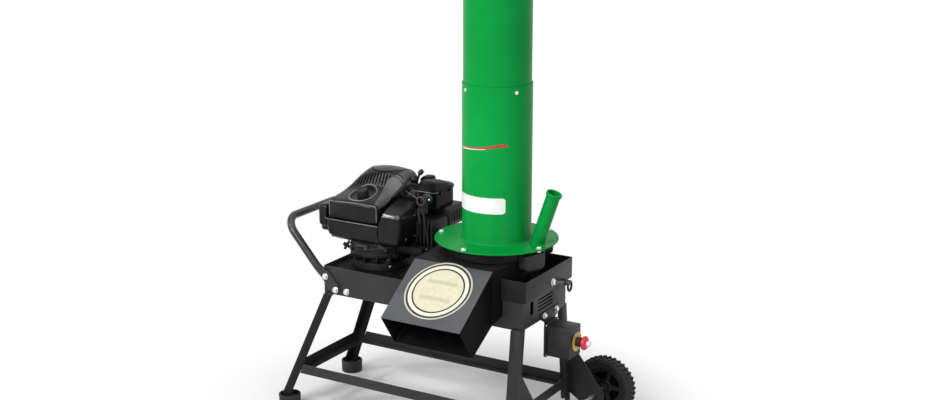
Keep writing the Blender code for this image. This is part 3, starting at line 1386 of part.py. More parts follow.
def make_muffler(shade):
    """The silencer behind the cylinder: a pressed box with rounded ends and its outlet stub."""
    x0, x1 = CYLINDER_LEFT, CYLINDER_RIGHT
    y0 = CYLINDER_Y + CYLINDER_HALF + 4 * mm
    y1 = y0 + MUFFLER_DEPTH
    low, high = CYLINDER_LOW, CYLINDER_HIGH
    sections = [
        cowl_ring(x0 + 8 * mm, x1 - 8 * mm, y0 + 8 * mm, y1 - 8 * mm, low, 12 * mm),
        cowl_ring(x0, x1, y0, y1, low + 8 * mm, 16 * mm),
        cowl_ring(x0, x1, y0, y1, high - 8 * mm, 16 * mm),
        cowl_ring(x0 + 8 * mm, x1 - 8 * mm, y0 + 8 * mm, y1 - 8 * mm, high, 12 * mm),
    ]
    box = finish("muffler", loft(sections), shade)
    r, bore = 9 * mm, 7 * mm
    stub = [(0, -10 * mm), (r, -10 * mm), (r, 16 * mm), (bore, 16 * mm), (bore, 2 * mm), (0, 2 * mm)]
    place = along(((x0 + x1) / 2, y1, low + 22 * mm), (0, 1, 0))
    cut(box, "muffler_stub", turned(stub, place, 14, closed=False), "UNION")


def make_plug_boot(shade):
    """The rubber boot on the spark plug, standing out of the head."""
    profile = [
        (0, 0), (8 * mm, 0), (8 * mm, 6 * mm), (10.5 * mm, 9 * mm), (10.5 * mm, 19 * mm),
        (7 * mm, 23 * mm), (0, 23 * mm),
    ]
    place = along((CYLINDER_RIGHT + GAP, PLUG_Y, PLUG_Z), (1, 0, 0))
    finish("plug_boot", turned(profile, place, 12, closed=False), shade)


def make_throttle(shade):
    """The lever on the side of the upper cover, with its knob at the top."""
    x0 = THROTTLE_X
    pivot_y, pivot_z = THROTTLE_PIVOT
    bar = THROTTLE_BAR
    lean = THROTTLE_LEAN
    way = (sin(lean), cos(lean))
    side = (cos(lean), -sin(lean))
    base = arc((pivot_y, pivot_z), bar, lean_angle(lean) + pi / 2, lean_angle(lean) + 3 * pi / 2, 6)
    tip = THROTTLE_LENGTH
    head = [
        (pivot_y + way[0] * tip + side[0] * bar * 0.7, pivot_z + way[1] * tip + side[1] * bar * 0.7),
        (pivot_y + way[0] * tip - side[0] * bar * 0.7, pivot_z + way[1] * tip - side[1] * bar * 0.7),
    ]
    lever = finish(
        "throttle_lever", prism(base + head, x0, x0 + 3 * mm, FACING_X), shade, (x0, pivot_y, pivot_z)
    )
    grip = [
        (0, -2 * mm), (6 * mm, -2 * mm), (8 * mm, 2 * mm), (8 * mm, 12 * mm), (5 * mm, 16 * mm),
        (0, 16 * mm),
    ]
    place = along(
        (x0 + 1.5 * mm, pivot_y + way[0] * (tip - 6 * mm), pivot_z + way[1] * (tip - 6 * mm)),
        (0.55, way[0], way[1]),
    )
    cut(lever, "throttle_knob", turned(grip, place, 12, closed=False), "UNION")
    pin = [(0, -THROTTLE_PIN), (4 * mm, -THROTTLE_PIN), (4 * mm, 5 * mm), (0, 5 * mm)]
    place = along((x0, pivot_y, pivot_z), (1, 0, 0))
    cut(lever, "throttle_pin", turned(pin, place, 12, closed=False), "UNION")


def lean_angle(lean):
    """Direction, in the (y, z) plane, of a bar leaning from upright towards +Y."""
    return pi / 2 - lean


def make_starter(shade):
    """The pull grip, parked against the shroud, with the rope's end in its channel."""
    x1 = COWL_LEFT - GAP
    y, z = STARTER_Y, STARTER_Z
    half, width, depth = STARTER_GRIP
    outline = rounded(y - width / 2, y + width / 2, z - half, z + half, 8 * mm, 3)
    grip = finish(
        "starter_grip", prism(outline, x1 - depth, x1, FACING_X), shade, (x1, y, z)
    )
    edge = grip.modifiers.new("edge", "BEVEL")
    edge.width = 4 * mm
    edge.segments = 2
    edge.angle_limit = radians(60)
    rope = [(0, -5 * mm), (ROPE_R, -5 * mm), (ROPE_R, ROPE_END), (0, ROPE_END)]
    cut(grip, "rope_end", turned(rope, along((x1, y, z), (1, 0, 0)), 12, closed=False), "UNION")


def make_dipstick(shade):
    """The oil filler's cap with its finger bar, on the neck at the side of the sump."""
    start = dipstick_seat(GAP)
    profile = [
        (0, -18 * mm), (5 * mm, -18 * mm), (5 * mm, 0), (15 * mm, 0), (15 * mm, 5 * mm), (6 * mm, 6 * mm),
        (6 * mm, 14 * mm), (0, 14 * mm),
    ]
    finish("dipstick", turned(profile, along(start, NECK_WAY), 12, closed=False), shade, start)


def dipstick_seat(over):
    """A point over the top of the filler neck."""
    way = Vector(NECK_WAY).normalized()
    turn = atan2(NECK_WAY[1], NECK_WAY[0])
    foot = Vector((ENGINE_X + (SUMP_R - 14 * mm) * cos(turn), (SUMP_R - 14 * mm) * sin(turn), NECK_Z))
    return foot + way * (NECK_LENGTH + over)


def build():
    clear_scene()
    shade = shades()
    make_beam(shade["black"])
    make_belt_cover(shade["black"])
    make_pan(shade["black"])
    make_chamber_base(shade["black"])
    make_drum(shade["black"])
    make_throat(shade["black"])
    make_chute(shade["black"])
    make_feed_sleeve(shade["green"])
    make_feed_hopper(shade["green"])
    make_side_pipe(shade["green"])
    make_rotor_shaft(shade["steel"])
    make_bearing("bearing_upper", CHAMBER_FLOOR - SHEET - GAP - BEARING_WIDTH, shade["steel"])
    make_bearing("bearing_lower", CHAMBER_BOTTOM, shade["steel"])
    make_rotor_disc(shade["steel"])
    for number in range(1, KNIFE_COUNT + 1):
        make_knife(number, shade["steel"])
    make_counter_knife(shade["steel"])
    make_pulley("driven_pulley", 0, DRIVEN_PULLEY_R, SHAFT_LOW_R + GAP, shade["cast"])
    make_pulley("drive_pulley", ENGINE_X, DRIVE_PULLEY_R, CRANK_R + GAP, shade["cast"])
    make_belt(shade["belt"])
    make_legs(shade["black"])
    make_rails(shade["black"])
    make_foot("foot_front", -1, shade["rubber"])
    make_foot("foot_rear", 1, shade["rubber"])
    for name, side in (("front", -1), ("rear", 1)):
        make_wheel_bracket(f"wheel_bracket_{name}", side, shade["black"])
        make_tyre(f"tyre_{name}", side, shade["rubber"])
        make_rim(f"rim_{name}", side, shade["plastic"])
    make_axle(shade["steel"])
    make_handle(shade["black"])
    make_stop_plate(shade["black"])
    make_stop_box(shade["plastic"])
    make_stop_lid(shade["plastic"])
    make_stop_ring(shade["yellow"])
    make_stop_collar(shade["plastic"])
    make_contact_block(shade["plastic"])
    make_stop_button(shade["red"])
    make_crankcase(shade["cast"])
    make_crankshaft(shade["steel"])
    make_flywheel(shade["cast"])
    make_cowl(shade["plastic"])
    make_tank(shade["plastic"])
    make_side_cowl(shade["plastic"])
    make_fuel_cap(shade["plastic"])
    make_cylinder(shade["cast"])
    make_carburettor(shade["cast"])
    make_air_filter(shade["plastic"])
    make_muffler(shade["cast"])
    make_plug_boot(shade["rubber"])
    make_throttle(shade["plastic"])
    make_starter(shade["plastic"])
    make_dipstick(shade["plastic"])

    machine = bpy.data.objects.new("machine", None)
    machine.location = (-MIDDLE_X, -MIDDLE_Y, 0)
    bpy.context.collection.objects.link(machine)
    for item in bpy.data.objects:
        if item is not machine and item.parent is None:
            item.parent = machine


build()
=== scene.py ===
# Forage chopper on a wheeled frame. Lengths are in millimetres, counted from the axis of the feed tube.
from math import cos, pi, radians, sin

import bmesh
import bpy
from mathutils import Matrix, Vector


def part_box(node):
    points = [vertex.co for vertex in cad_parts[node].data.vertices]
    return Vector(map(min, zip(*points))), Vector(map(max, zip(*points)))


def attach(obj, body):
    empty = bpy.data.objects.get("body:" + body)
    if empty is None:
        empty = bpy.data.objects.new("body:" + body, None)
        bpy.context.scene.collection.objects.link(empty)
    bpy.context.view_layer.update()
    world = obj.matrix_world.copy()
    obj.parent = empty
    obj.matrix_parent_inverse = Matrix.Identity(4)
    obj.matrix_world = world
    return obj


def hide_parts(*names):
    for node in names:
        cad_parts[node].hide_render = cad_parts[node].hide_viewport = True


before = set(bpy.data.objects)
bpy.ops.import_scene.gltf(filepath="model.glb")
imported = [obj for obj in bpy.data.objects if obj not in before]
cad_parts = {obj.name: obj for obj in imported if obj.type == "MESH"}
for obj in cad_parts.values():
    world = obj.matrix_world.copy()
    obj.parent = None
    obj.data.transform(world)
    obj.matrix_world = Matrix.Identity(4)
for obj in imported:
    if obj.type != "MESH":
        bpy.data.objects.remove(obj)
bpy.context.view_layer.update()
tubeLow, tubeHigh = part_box("feed_sleeve")
tubeX, tubeY = (tubeLow.x + tubeHigh.x) / 2, (tubeLow.y + tubeHigh.y) / 2
mm = 0.001
mergeWithin = 0.004 * mm
print("frame loaded")


def spot(x, y, z):
    return Vector((x * mm + tubeX, y * mm + tubeY, z * mm))


def corners(node):  # the box of a CAD node in mm from the tube axis
    return [((c.x - tubeX) / mm, (c.y - tubeY) / mm, c.z / mm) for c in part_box(node)]


# Selecting and editing

def leaveEdit():
    if bpy.context.object and bpy.context.object.mode != "OBJECT":
        bpy.ops.object.mode_set(mode="OBJECT")


def pick(*pieces):
    leaveEdit()
    bpy.ops.object.select_all(action="DESELECT")
    for piece in pieces:
        piece.select_set(True)
    if pieces:
        bpy.context.view_layer.objects.active = pieces[0]


def edit(piece):
    pick(piece)
    bpy.ops.object.mode_set(mode="EDIT")
    bpy.ops.mesh.select_all(action="SELECT")


def mend(piece):
    edit(piece)
    bpy.ops.mesh.remove_doubles(threshold=mergeWithin)
    bpy.ops.mesh.normals_make_consistent(inside=False)
    leaveEdit()


def settle(piece):  # modifiers first, then place and turn, so that the object ends at the origin
    pick(piece)
    for step in list(piece.modifiers):
        bpy.ops.object.modifier_apply(modifier=step.name)
    bpy.ops.object.transform_apply(location=True, rotation=True, scale=True)
    return piece


def turnedTo(centre, axis, roll=0.0):
    aim = Vector((0, 0, 1)).rotation_difference(Vector(axis)).to_matrix().to_4x4()
    return Matrix.Translation(spot(*centre)) @ aim @ Matrix.Rotation(roll, 4, "Z")


def facing(right, up, out, origin=(0, 0, 0)):  # turns own X, Y and Z to these three directions
    return Matrix.Translation(spot(*origin)) @ Matrix((right, up, out)).transposed().to_4x4()


def facingOut(angle):  # stands upright and looks away from the tube's axis
    turn = radians(angle)
    return facing((-sin(turn), cos(turn), 0), (0, 0, 1), (cos(turn), sin(turn), 0))


def heading(angle):
    return cos(radians(angle)), sin(radians(angle)), 0


def softEdges(piece, width, segments=2, angle=30):
    step = piece.modifiers.new("edges", "BEVEL")
    step.width = width * mm
    step.segments = segments
    step.limit_method = "ANGLE"
    step.angle_limit = radians(angle)
    step.use_clamp_overlap = True
    pick(piece)
    bpy.ops.object.modifier_apply(modifier="edges")


def carve(piece, *tools, operation="DIFFERENCE"):
    for tool in tools:
        step = piece.modifiers.new("carve", "BOOLEAN")
        step.operation = operation
        step.solver = "EXACT"
        step.object = tool
        pick(piece)
        bpy.ops.object.modifier_apply(modifier="carve")
        bpy.data.objects.remove(tool)


def dress(piece, paint, *nodes, body="frame", slotName=None, smooth=32):
    pick(piece)
    bpy.ops.object.shade_smooth_by_angle(angle=radians(smooth))
    piece.data.materials.clear()
    piece.data.materials.append(paint)
    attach(piece, body)
    if nodes:
        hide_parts(*nodes)
    return piece


def repaint(piece, paint, wanted):  # a second material on the faces where wanted(centre in mm, normal) holds
    piece.data.materials.append(paint)
    for face in piece.data.polygons:
        centre = (face.center - spot(0, 0, 0)) / mm
        if wanted(centre, face.normal):
            face.material_index = len(piece.data.materials) - 1


# Shapes: a line of points is drawn by extruding one vertex, then spun, filled or thickened

def drawLine(name, points):
    pick()
    bpy.ops.mesh.primitive_plane_add(size=1 * mm, location=(0, 0, 0))
    piece = bpy.context.object
    piece.name = name
    bpy.ops.object.mode_set(mode="EDIT")
    bpy.ops.mesh.select_all(action="SELECT")
    bpy.ops.mesh.merge(type="CENTER")
    bpy.ops.transform.translate(value=Vector(points[0]) * mm)
    for before, after in zip(points, points[1:]):
        step = (Vector(after) - Vector(before)) * mm
        bpy.ops.mesh.extrude_vertices_move(TRANSFORM_OT_translate={"value": step})
    bpy.ops.mesh.select_all(action="SELECT")
    return piece


def lathe(name, profile, centre=(0, 0, 0), axis=(0, 0, 1), steps=96):  # closed if it starts away from the axis
    line = profile + ([profile[0]] if profile[0][0] > 0 else [])
    piece = drawLine(name, [(r, 0, z) for r, z in line])
    bpy.ops.mesh.spin(steps=steps, angle=2 * pi, center=(0, 0, 0), axis=(0, 0, 1))
    mend(piece)
    piece.matrix_world = turnedTo(centre, axis)
    return settle(piece)


def rod(name, radius, low, high, centre=(0, 0, 0), axis=(0, 0, 1), steps=72):  # a plain round tool to carve with
    return lathe(name, [(0, low), (radius, low), (radius, high), (0, high)], centre, axis, steps)


def slab(name, outline, low, high, centre=(0, 0, 0), axis=(0, 0, 1), roll=0.0, place=None):
    piece = drawLine(name, [(x, y, low) for x, y in outline])
    bpy.ops.mesh.edge_face_add()
    bpy.ops.mesh.extrude_region_move(TRANSFORM_OT_translate={"value": (0, 0, (high - low) * mm)})
    mend(piece)
    piece.matrix_world = place or turnedTo(centre, axis, roll)
    return settle(piece)


def slabAcross(name, outline, low, high, shift=0.0):  # an outline in x and z, thick along y; this place mirrors it
    piece = slab(name, outline, low, high, place=facing((1, 0, 0), (0, 0, 1), (0, 1, 0), (shift, 0, 0)))
    mend(piece)
    return piece


def slabAlong(name, outline, low, high):  # an outline in y and z, thick along x
    return slab(name, outline, low, high, place=facing((0, 1, 0), (0, 0, 1), (1, 0, 0)))


def tube(name, points, radius, sides=12, closed=False):
    piece = drawLine(name, points + ([points[0]] if closed else []))
    leaveEdit()
    if closed:
        mend(piece)
    pick(piece)
    bpy.ops.object.convert(target="CURVE")
    piece = bpy.context.object
    piece.data.bevel_depth = radius * mm
    piece.data.bevel_resolution = sides // 4
    piece.data.use_fill_caps = True
    bpy.ops.object.convert(target="MESH")
    piece = bpy.context.object
    piece.matrix_world = Matrix.Translation(spot(0, 0, 0))
    settle(piece)
    mend(piece)
    return piece


def cord(name, points, radius, paint, sides=12, closed=False, smooth=50, slotName=None):
    return dress(tube(name, points, radius, sides, closed), paint, smooth=smooth, slotName=slotName)


def stack(outline, heights):  # rings of points for loft: the outline at each inset and height
    return [[(x, y, z) for x, y in outline(inset)] for inset, z in heights]


def copyOf(node, width=0.0, segments=2, angle=30):  # a CAD node's shape, merged, with its edges eased
    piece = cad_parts[node].copy()
    piece.data = piece.data.copy()
    bpy.context.scene.collection.objects.link(piece)
    for key in list(piece.keys()):
        del piece[key]
    piece.parent = None
    piece.name = f"{node}_skin"
    edit(piece)
    bpy.ops.mesh.remove_doubles(threshold=mergeWithin)
    bpy.ops.mesh.dissolve_limited(angle_limit=radians(0.6))
    leaveEdit()
    if width:
        softEdges(piece, width, segments, angle)
    return piece


def anotherAt(model, name, place):  # a copy with its own mesh, moved to its place
    piece = model.copy()
    piece.data = model.data.copy()
    bpy.context.scene.collection.objects.link(piece)
    piece.name = name
    piece.matrix_world = place
    return settle(piece)


def cornered(x0, x1, y0, y1, radii, steps=6):  # a rectangle with a radius per corner, from the front right round
    points = []
    starts = ((x1, y0, -1, 1, -90), (x1, y1, -1, -1, 0), (x0, y1, 1, -1, 90), (x0, y0, 1, 1, 180))
    for (x, y, sx, sy, start), r in zip(starts, radii):
        for i in range(steps + 1):
            turn = radians(start + 90 * i / steps)
            points.append((x + sx * r + r * cos(turn), y + sy * r + r * sin(turn)))
    return points


def roundCorners(x0, x1, y0, y1, radius, steps=6):
    return cornered(x0, x1, y0, y1, (radius,) * 4, steps)


def mirrored(half):  # a profile's lower half followed by its upper half
    return half + [(r, -z) for r, z in reversed(half)]


def ring(radius, count):
    return [(radius * cos(2 * pi * i / count), radius * sin(2 * pi * i / count)) for i in range(count)]


def plateAt(name, outline, thick, centre, out, paint, edge=0.5, slotName="engine_casting"):
    plate = slab(name, outline, 0, thick, centre, out)
    softEdges(plate, edge, 2, 50)
    return dress(plate, paint, slotName=slotName, smooth=40)


# Materials: sockets that can be added and multiplied like numbers

class Wire:
    def __init__(self, paint, socket):
        self.paint, self.socket = paint, socket

    def maths(self, operation, *values):
        return self.paint.node("ShaderNodeMath", {"operation": operation}, values)

    def __add__(self, other):
        return self.maths("ADD", self, other)

    def __sub__(self, other):
        return self.maths("SUBTRACT", self, other)

    def __rsub__(self, other):
        return self.maths("SUBTRACT", other, self)

    def __mul__(self, other):
        return self.maths("MULTIPLY", self, other)

    def __truediv__(self, other):
        return self.maths("DIVIDE", self, other)

    def __pow__(self, other):
        return self.maths("POWER", self, other)

    __radd__, __rmul__ = __add__, __mul__

    def size(self):
        return self.maths("ABSOLUTE", self)

    def between(self, low, high):  # 0 below low, 1 above high, smooth in between
        settings = {"interpolation_type": "SMOOTHSTEP"}
        return self.paint.node("ShaderNodeMapRange", settings, {0: self, 1: low, 2: high, 3: 0.0, 4: 1.0})


class Paint:
    def __init__(self, name):
        self.material = bpy.data.materials.new(name)
        self.material.use_nodes = True
        self.tree = self.material.node_tree
        self.shader = self.tree.nodes["Principled BSDF"]
        self.place = self.node("ShaderNodeTexCoord", {}, {}, "Object")

    def node(self, kind, settings, values, output=0):
        made = self.tree.nodes.new(kind)
        for key, value in settings.items():
            setattr(made, key, value)
        for key, value in (values.items() if isinstance(values, dict) else enumerate(values)):
            self.plug(made.inputs[key], value)
        return Wire(self, made.outputs[output])

    def plug(self, socket, value):
        if isinstance(value, Wire):
            self.tree.links.new(value.socket, socket)
        elif socket.type == "RGBA":
            socket.default_value = (*value, 1.0)
        else:
            socket.default_value = value

    def stretched(self, scale):
        return self.node("ShaderNodeVectorMath", {"operation": "MULTIPLY"}, {0: self.place, 1: scale})

    def noise(self, scale, detail=4.0, rough=0.5, where=None):
        values = {"Vector": where or self.place, "Scale": scale, "Detail": detail, "Roughness": rough}
        return self.node("ShaderNodeTexNoise", {}, values)

    def cells(self, scale):
        return self.node("ShaderNodeTexVoronoi", {}, {"Vector": self.place, "Scale": scale})

    def upward(self):
        facing = self.node("ShaderNodeNewGeometry", {}, {}, "Normal")
        return self.node("ShaderNodeSeparateXYZ", {}, {0: facing}, "Z")

    def axis(self, which):
        return self.node("ShaderNodeSeparateXYZ", {}, {0: self.place}, which)

    def mix(self, share, first, second):
        return self.node("ShaderNodeMix", {"data_type": "RGBA"}, {0: share, 6: first, 7: second}, 2)

    def bump(self, height, strength, distance=0.2):
        made = self.node("ShaderNodeBump", {}, {"Height": height, "Strength": strength, "Distance": distance * mm})
        self.plug(self.shader.inputs["Normal"], made)

    def done(self, **values):
        names = {"colour": "Base Color", "rough": "Roughness", "metal": "Metallic", "coat": "Coat Weight",
            "gloss": "Specular IOR Level", "coatRough": "Coat Roughness"}
        for key, value in values.items():
            self.plug(self.shader.inputs[names[key]], value)
        return self.material


powderCoat = {"green": (0.0, 0.285, 0.047), "greenDeep": (0.0, 0.245, 0.038), "black": (0.021, 0.0215, 0.023),
    "blackWorn": (0.036, 0.0365, 0.038), "dust": (0.09, 0.085, 0.078)}


def greenCoat():
    p = Paint("green_powder_coat")
    peel, grain, drift = p.noise(380, 3), p.noise(2400, 2), p.noise(6, 3)
    dust = p.upward().between(0.75, 1.0) * p.noise(45, 5).between(0.5, 0.75) * 0.05
    base = p.mix(drift.between(0.3, 0.7), powderCoat["greenDeep"], powderCoat["green"])
    p.bump(peel * 0.75 + grain * 0.25, 0.11, 0.25)
    return p.done(colour=p.mix(dust, base, powderCoat["dust"]), rough=0.3 + peel * 0.14 + dust * 2, gloss=0.1)


def blackCoat(name="black_powder_coat", lift=1.0, rough=0.36, gloss=0.22):
    p = Paint(name)
    peel, grain, drift = p.noise(520, 3), p.noise(3200, 2), p.noise(9, 4)
    scuff = p.noise(70, 6, 0.7, p.stretched((1, 1, 6))).between(0.62, 0.8) * 0.4
    dust = p.upward().between(0.6, 1.0) * p.noise(60, 5).between(0.45, 0.75) * 0.14
    first = tuple(c * lift for c in powderCoat["black"])
    second = tuple(c * lift for c in powderCoat["blackWorn"])
    base = p.mix(drift.between(0.3, 0.7) * 0.5 + scuff * 0.5, first, second)
    p.bump(peel * 0.55 + grain * 0.45, 0.16, 0.22)
    return p.done(colour=p.mix(dust, base, powderCoat["dust"]), rough=rough + peel * 0.16 + dust * 0.8, gloss=gloss)


def mouldedBlack(name="moulded_black", shade=(0.0055, 0.0055, 0.0058), rough=0.22, pebble=1500.0, depth=0.1,
        gloss=0.2, paintedLight=None):
    p = Paint(name)
    pebbles, flow, grain = p.cells(pebble), p.noise(14, 3), p.noise(3000, 2)
    dust = p.upward().between(0.5, 1.0) * p.noise(80, 5).between(0.5, 0.8) * 0.04
    second = tuple(c * 1.7 for c in shade)
    p.bump(pebbles * 0.6 + grain * 0.4, depth, 0.15)
    base = p.mix(flow.between(0.3, 0.7), shade, second)
    if paintedLight:  # an oval of painted light on the plastic: its centre and half sizes in mm, and its colour
        x, y, across, along, tone = paintedLight
        middle = spot(x, y, 0)
        sideways, lengthways = (p.axis("X") - middle.x) / (across * mm), (p.axis("Y") - middle.y) / (along * mm)
        away = sideways ** 2 + lengthways ** 2
        base = p.mix(away.between(0.94, 1.0), tone, base)
    return p.done(colour=p.mix(dust, base, powderCoat["dust"]), rough=rough + pebbles * 0.12 + flow * 0.08,
        gloss=gloss)


def rubberSkin(name="rubber", shade=(0.014, 0.014, 0.0142), rough=0.62):
    p = Paint(name)
    grain, smear = p.noise(900, 5, 0.7), p.noise(30, 4)
    second = tuple(c * 2.4 for c in shade)
    dust = smear.between(0.55, 0.8) * 0.25
    p.bump(grain, 0.3, 0.3)
    return p.done(colour=p.mix(dust, p.mix(smear.between(0.3, 0.7), shade, second), (0.07, 0.064, 0.055)),
        rough=rough + grain * 0.22, gloss=0.35)


def zincPlate():
    p = Paint("zinc_plate")
    cloud, spangle, grain = p.noise(150, 4), p.cells(420), p.noise(2600, 2)
    p.bump(grain * 0.5 + cloud * 0.5, 0.08, 0.1)
    return p.done(colour=p.mix(cloud.between(0.3, 0.7), (0.72, 0.71, 0.66), (0.86, 0.86, 0.84)),
        rough=0.2 + spangle * 0.18 + cloud * 0.1, metal=1.0)


def groundSteel(name="ground_steel", shade=(0.5, 0.5, 0.51)):
    p = Paint(name)
    lines = p.noise(60, 6, 0.7, p.stretched((1, 1, 40)))
    spots = p.noise(40, 5)
    p.bump(lines, 0.12, 0.1)
    return p.done(colour=p.mix(spots.between(0.4, 0.7), shade, tuple(c * 0.75 for c in shade)),
        rough=0.22 + lines * 0.22, metal=1.0)


def castMetal(name="cast_metal", shade=(0.045, 0.045, 0.048), metal=0.55):
    p = Paint(name)
    sand, drift, pits = p.noise(700, 6, 0.75), p.noise(20, 4), p.cells(260)
    p.bump(sand * 0.7 + pits * 0.3, 0.45, 0.3)
    return p.done(colour=p.mix(drift.between(0.35, 0.7), shade, tuple(c * 1.6 for c in shade)),
        rough=0.42 + sand * 0.25, metal=metal, gloss=0.25)


def plainPlastic(name, shade, second, rough=0.28):
    p = Paint(name)
    flow, grain = p.noise(50, 3), p.noise(1800, 3)
    p.bump(grain, 0.06, 0.1)
    return p.done(colour=p.mix(flow.between(0.3, 0.7), shade, second), rough=rough + grain * 0.12, coat=0.15)


green = greenCoat()
black = blackCoat()
# painted light: a lighter copy of the black coat for the chute, whose sloping top is drawn as if lit more than the
# other black parts
chuteLitBlack = blackCoat("black_powder_coat_chute_painted_light", 2.9, 0.34)
# painted shade: a near-black copy of the black coat, for faces drawn as if in deep shadow
paintedDeepShadeBlack = blackCoat("black_powder_coat_painted_deep_shade", 0.16, 0.45, 0.06)
glossBlack = blackCoat("black_gloss_coat", 0.62, 0.2, 0.5)
# painted shade: a darker copy of the black coat, for faces drawn as if in shadow
paintedShadeBlack = blackCoat("black_powder_coat_painted_shade", 0.5, 0.42, 0.1)
cover = mouldedBlack()
# painted light: a paler oval on the dome's top, as if lit
tankPlastic = mouldedBlack("moulded_black_tank", paintedLight=(-416, 64, 61, 45, (0.034, 0.034, 0.035)))
# partly real gloss and partly painted highlight: a smoother, glossier and lighter black for the side cowl's crest
glossAndPaintedHighlight = mouldedBlack("moulded_black_gloss_and_painted_highlight", (0.03, 0.03, 0.031), 0.1, 1500.0, 0.05, 0.7)
coverMatt = mouldedBlack("moulded_black_matt", (0.011, 0.011, 0.0112), 0.5, 900.0, 0.4)
rimPlastic = mouldedBlack("moulded_black_rim", (0.012, 0.012, 0.0125), 0.34, 1200.0, 0.15)
boxPlastic = mouldedBlack("moulded_black_box", (0.02, 0.02, 0.021), 0.36, 700.0, 0.2)
rubber = rubberSkin("rubber", (0.009, 0.009, 0.0092), 0.6)
treadRubber = rubberSkin("tread_rubber", (0.007, 0.007, 0.007), 0.5)
zinc = zincPlate()
steel = groundSteel()
darkSteel = groundSteel("dark_steel", (0.09, 0.09, 0.092))
casting = castMetal()
engineCasting = castMetal("engine_casting", (0.011, 0.011, 0.0118), 0.35)
carbMetal = castMetal("carburettor_metal", (0.024, 0.024, 0.025), 0.4)
guardMetal = castMetal("guard_metal", (0.03, 0.027, 0.028), 0.3)
# painted shade: a near-black plastic for lines and sheets that stand in for shadow in grooves and openings
paintedGapShade = mouldedBlack("moulded_black_painted_gap_shade", (0.0015, 0.0015, 0.0015), 0.6, 900.0, 0.2, 0.02)
filterBlack = mouldedBlack("moulded_black_filter", (0.004, 0.004, 0.0042), 0.26, 1500.0, 0.08, 0.06)
# painted highlight: a light grey, glossy plastic for beads that stand in for the glints along the cover's edges
paintedEdgeHighlight = mouldedBlack("moulded_grey_painted_edge_highlight", (0.13, 0.13, 0.132), 0.22, 1500.0, 0.06, 0.5)
coverBand = mouldedBlack("moulded_grey_band", (0.042, 0.042, 0.043), 0.4, 900.0, 0.3, 0.4)
yellow = plainPlastic("yellow_plastic", (0.54, 0.4, 0.055), (0.62, 0.47, 0.085))
red = plainPlastic("red_plastic", (0.68, 0.012, 0.03), (0.8, 0.03, 0.05))
milky = plainPlastic("milky_plastic", (0.72, 0.66, 0.66), (0.82, 0.78, 0.77), 0.2)
print("materials made")


# Fasteners: each kind modelled once

modelAt = (-tubeX / mm, -tubeY / mm, 0)  # the scene's own origin
fastener = {"washerR": 9.0, "washerT": 1.4, "headR": 7.5, "headH": 5.3, "shankR": 4.0, "screwR": 5.2}


def boltModel():
    f = fastener
    washer = lathe("bolt_model", [(f["shankR"], 0), (f["washerR"] - 0.4, 0), (f["washerR"], 0.4),
        (f["washerR"], f["washerT"] - 0.3), (f["washerR"] - 0.4, f["washerT"]), (f["shankR"], f["washerT"])],
        modelAt, steps=32)
    low = f["washerT"] + 0.1
    head = slab("bolt_head", ring(f["headR"], 6), low, low + f["headH"], modelAt)
    chamfer = lathe("bolt_chamfer", [(0, low - 1), (f["headR"], low - 1), (f["headR"], low + f["headH"] * 0.72),
        (f["headR"] * 0.72, low + f["headH"]), (0, low + f["headH"])], modelAt, steps=36)
    carve(head, chamfer, operation="INTERSECT")
    softEdges(head, 0.25, 1, 25)
    pick(washer, head)
    bpy.ops.object.join()
    return washer


def screwModel():  # a pan head with a cross recess
    r = fastener["screwR"]
    head = lathe("screw_model", [(0, 0), (r, 0), (r, 0.7), (r * 0.86, 2.0), (r * 0.5, 2.9), (0, 3.1)], modelAt,
        steps=32)
    for turn in (0, 90):
        slot = slab("recess", [(-2.6, -0.55), (2.6, -0.55), (2.6, 0.55), (-2.6, 0.55)], 1.6, 4, modelAt,
            roll=radians(turn))
        carve(head, slot)
    return head


bolt, screw = boltModel(), screwModel()


def fix(model, name, centre, axis, scale=1.0, roll=0.3, paint=None):
    piece = anotherAt(model, name, turnedTo(centre, axis, roll) @ Matrix.Scale(scale, 4))
    return dress(piece, paint or zinc)


# Frame of sheet and angle steel

plain = {"edge": 1.1, "thinEdge": 0.8, "slotY": (-90.0, -70.0), "slotZ": (426.0, 467.0), "slotCorner": 6.0}
sheets = {}
for node in ("main_beam", "belt_cover", "chamber_pan", "chute_throat"):
    sheets[node] = copyOf(node, plain["thinEdge"], 2)
    if node == "main_beam":  # the open slot beside the louvres, with round ends
        outline = roundCorners(*plain["slotY"], *plain["slotZ"], plain["slotCorner"])
        carve(sheets[node], slabAlong("slot", outline, 150, 180))
    dress(sheets[node], black, node)
# painted shade: the throat under the flange is drawn in the shade black, and its right faces in the deep shade black
repaint(sheets["chute_throat"], paintedShadeBlack, lambda c, n: n.x <= 0.6)
repaint(sheets["chute_throat"], paintedDeepShadeBlack, lambda c, n: n.x > 0.6)
# painted shade: the deck round the engine's base is drawn near black, as if in shadow
repaint(sheets["main_beam"], paintedDeepShadeBlack, lambda c, n: n.z > 0.5 and 440 < c.z < 478)
# painted shade: the pan's front faces and low floor are drawn darker, as if in the flange's shadow
repaint(sheets["chamber_pan"], paintedShadeBlack, lambda c, n: n.y < -0.6 or (n.z > 0.5 and c.z < 500))
# painted light: the chute's outside in the lighter black copy; its inner faces get painted shade below
chute = dress(copyOf("discharge_chute", 1.4, 3), chuteLitBlack, "discharge_chute")
chuteMiddle = -45  # its inner faces look towards this x
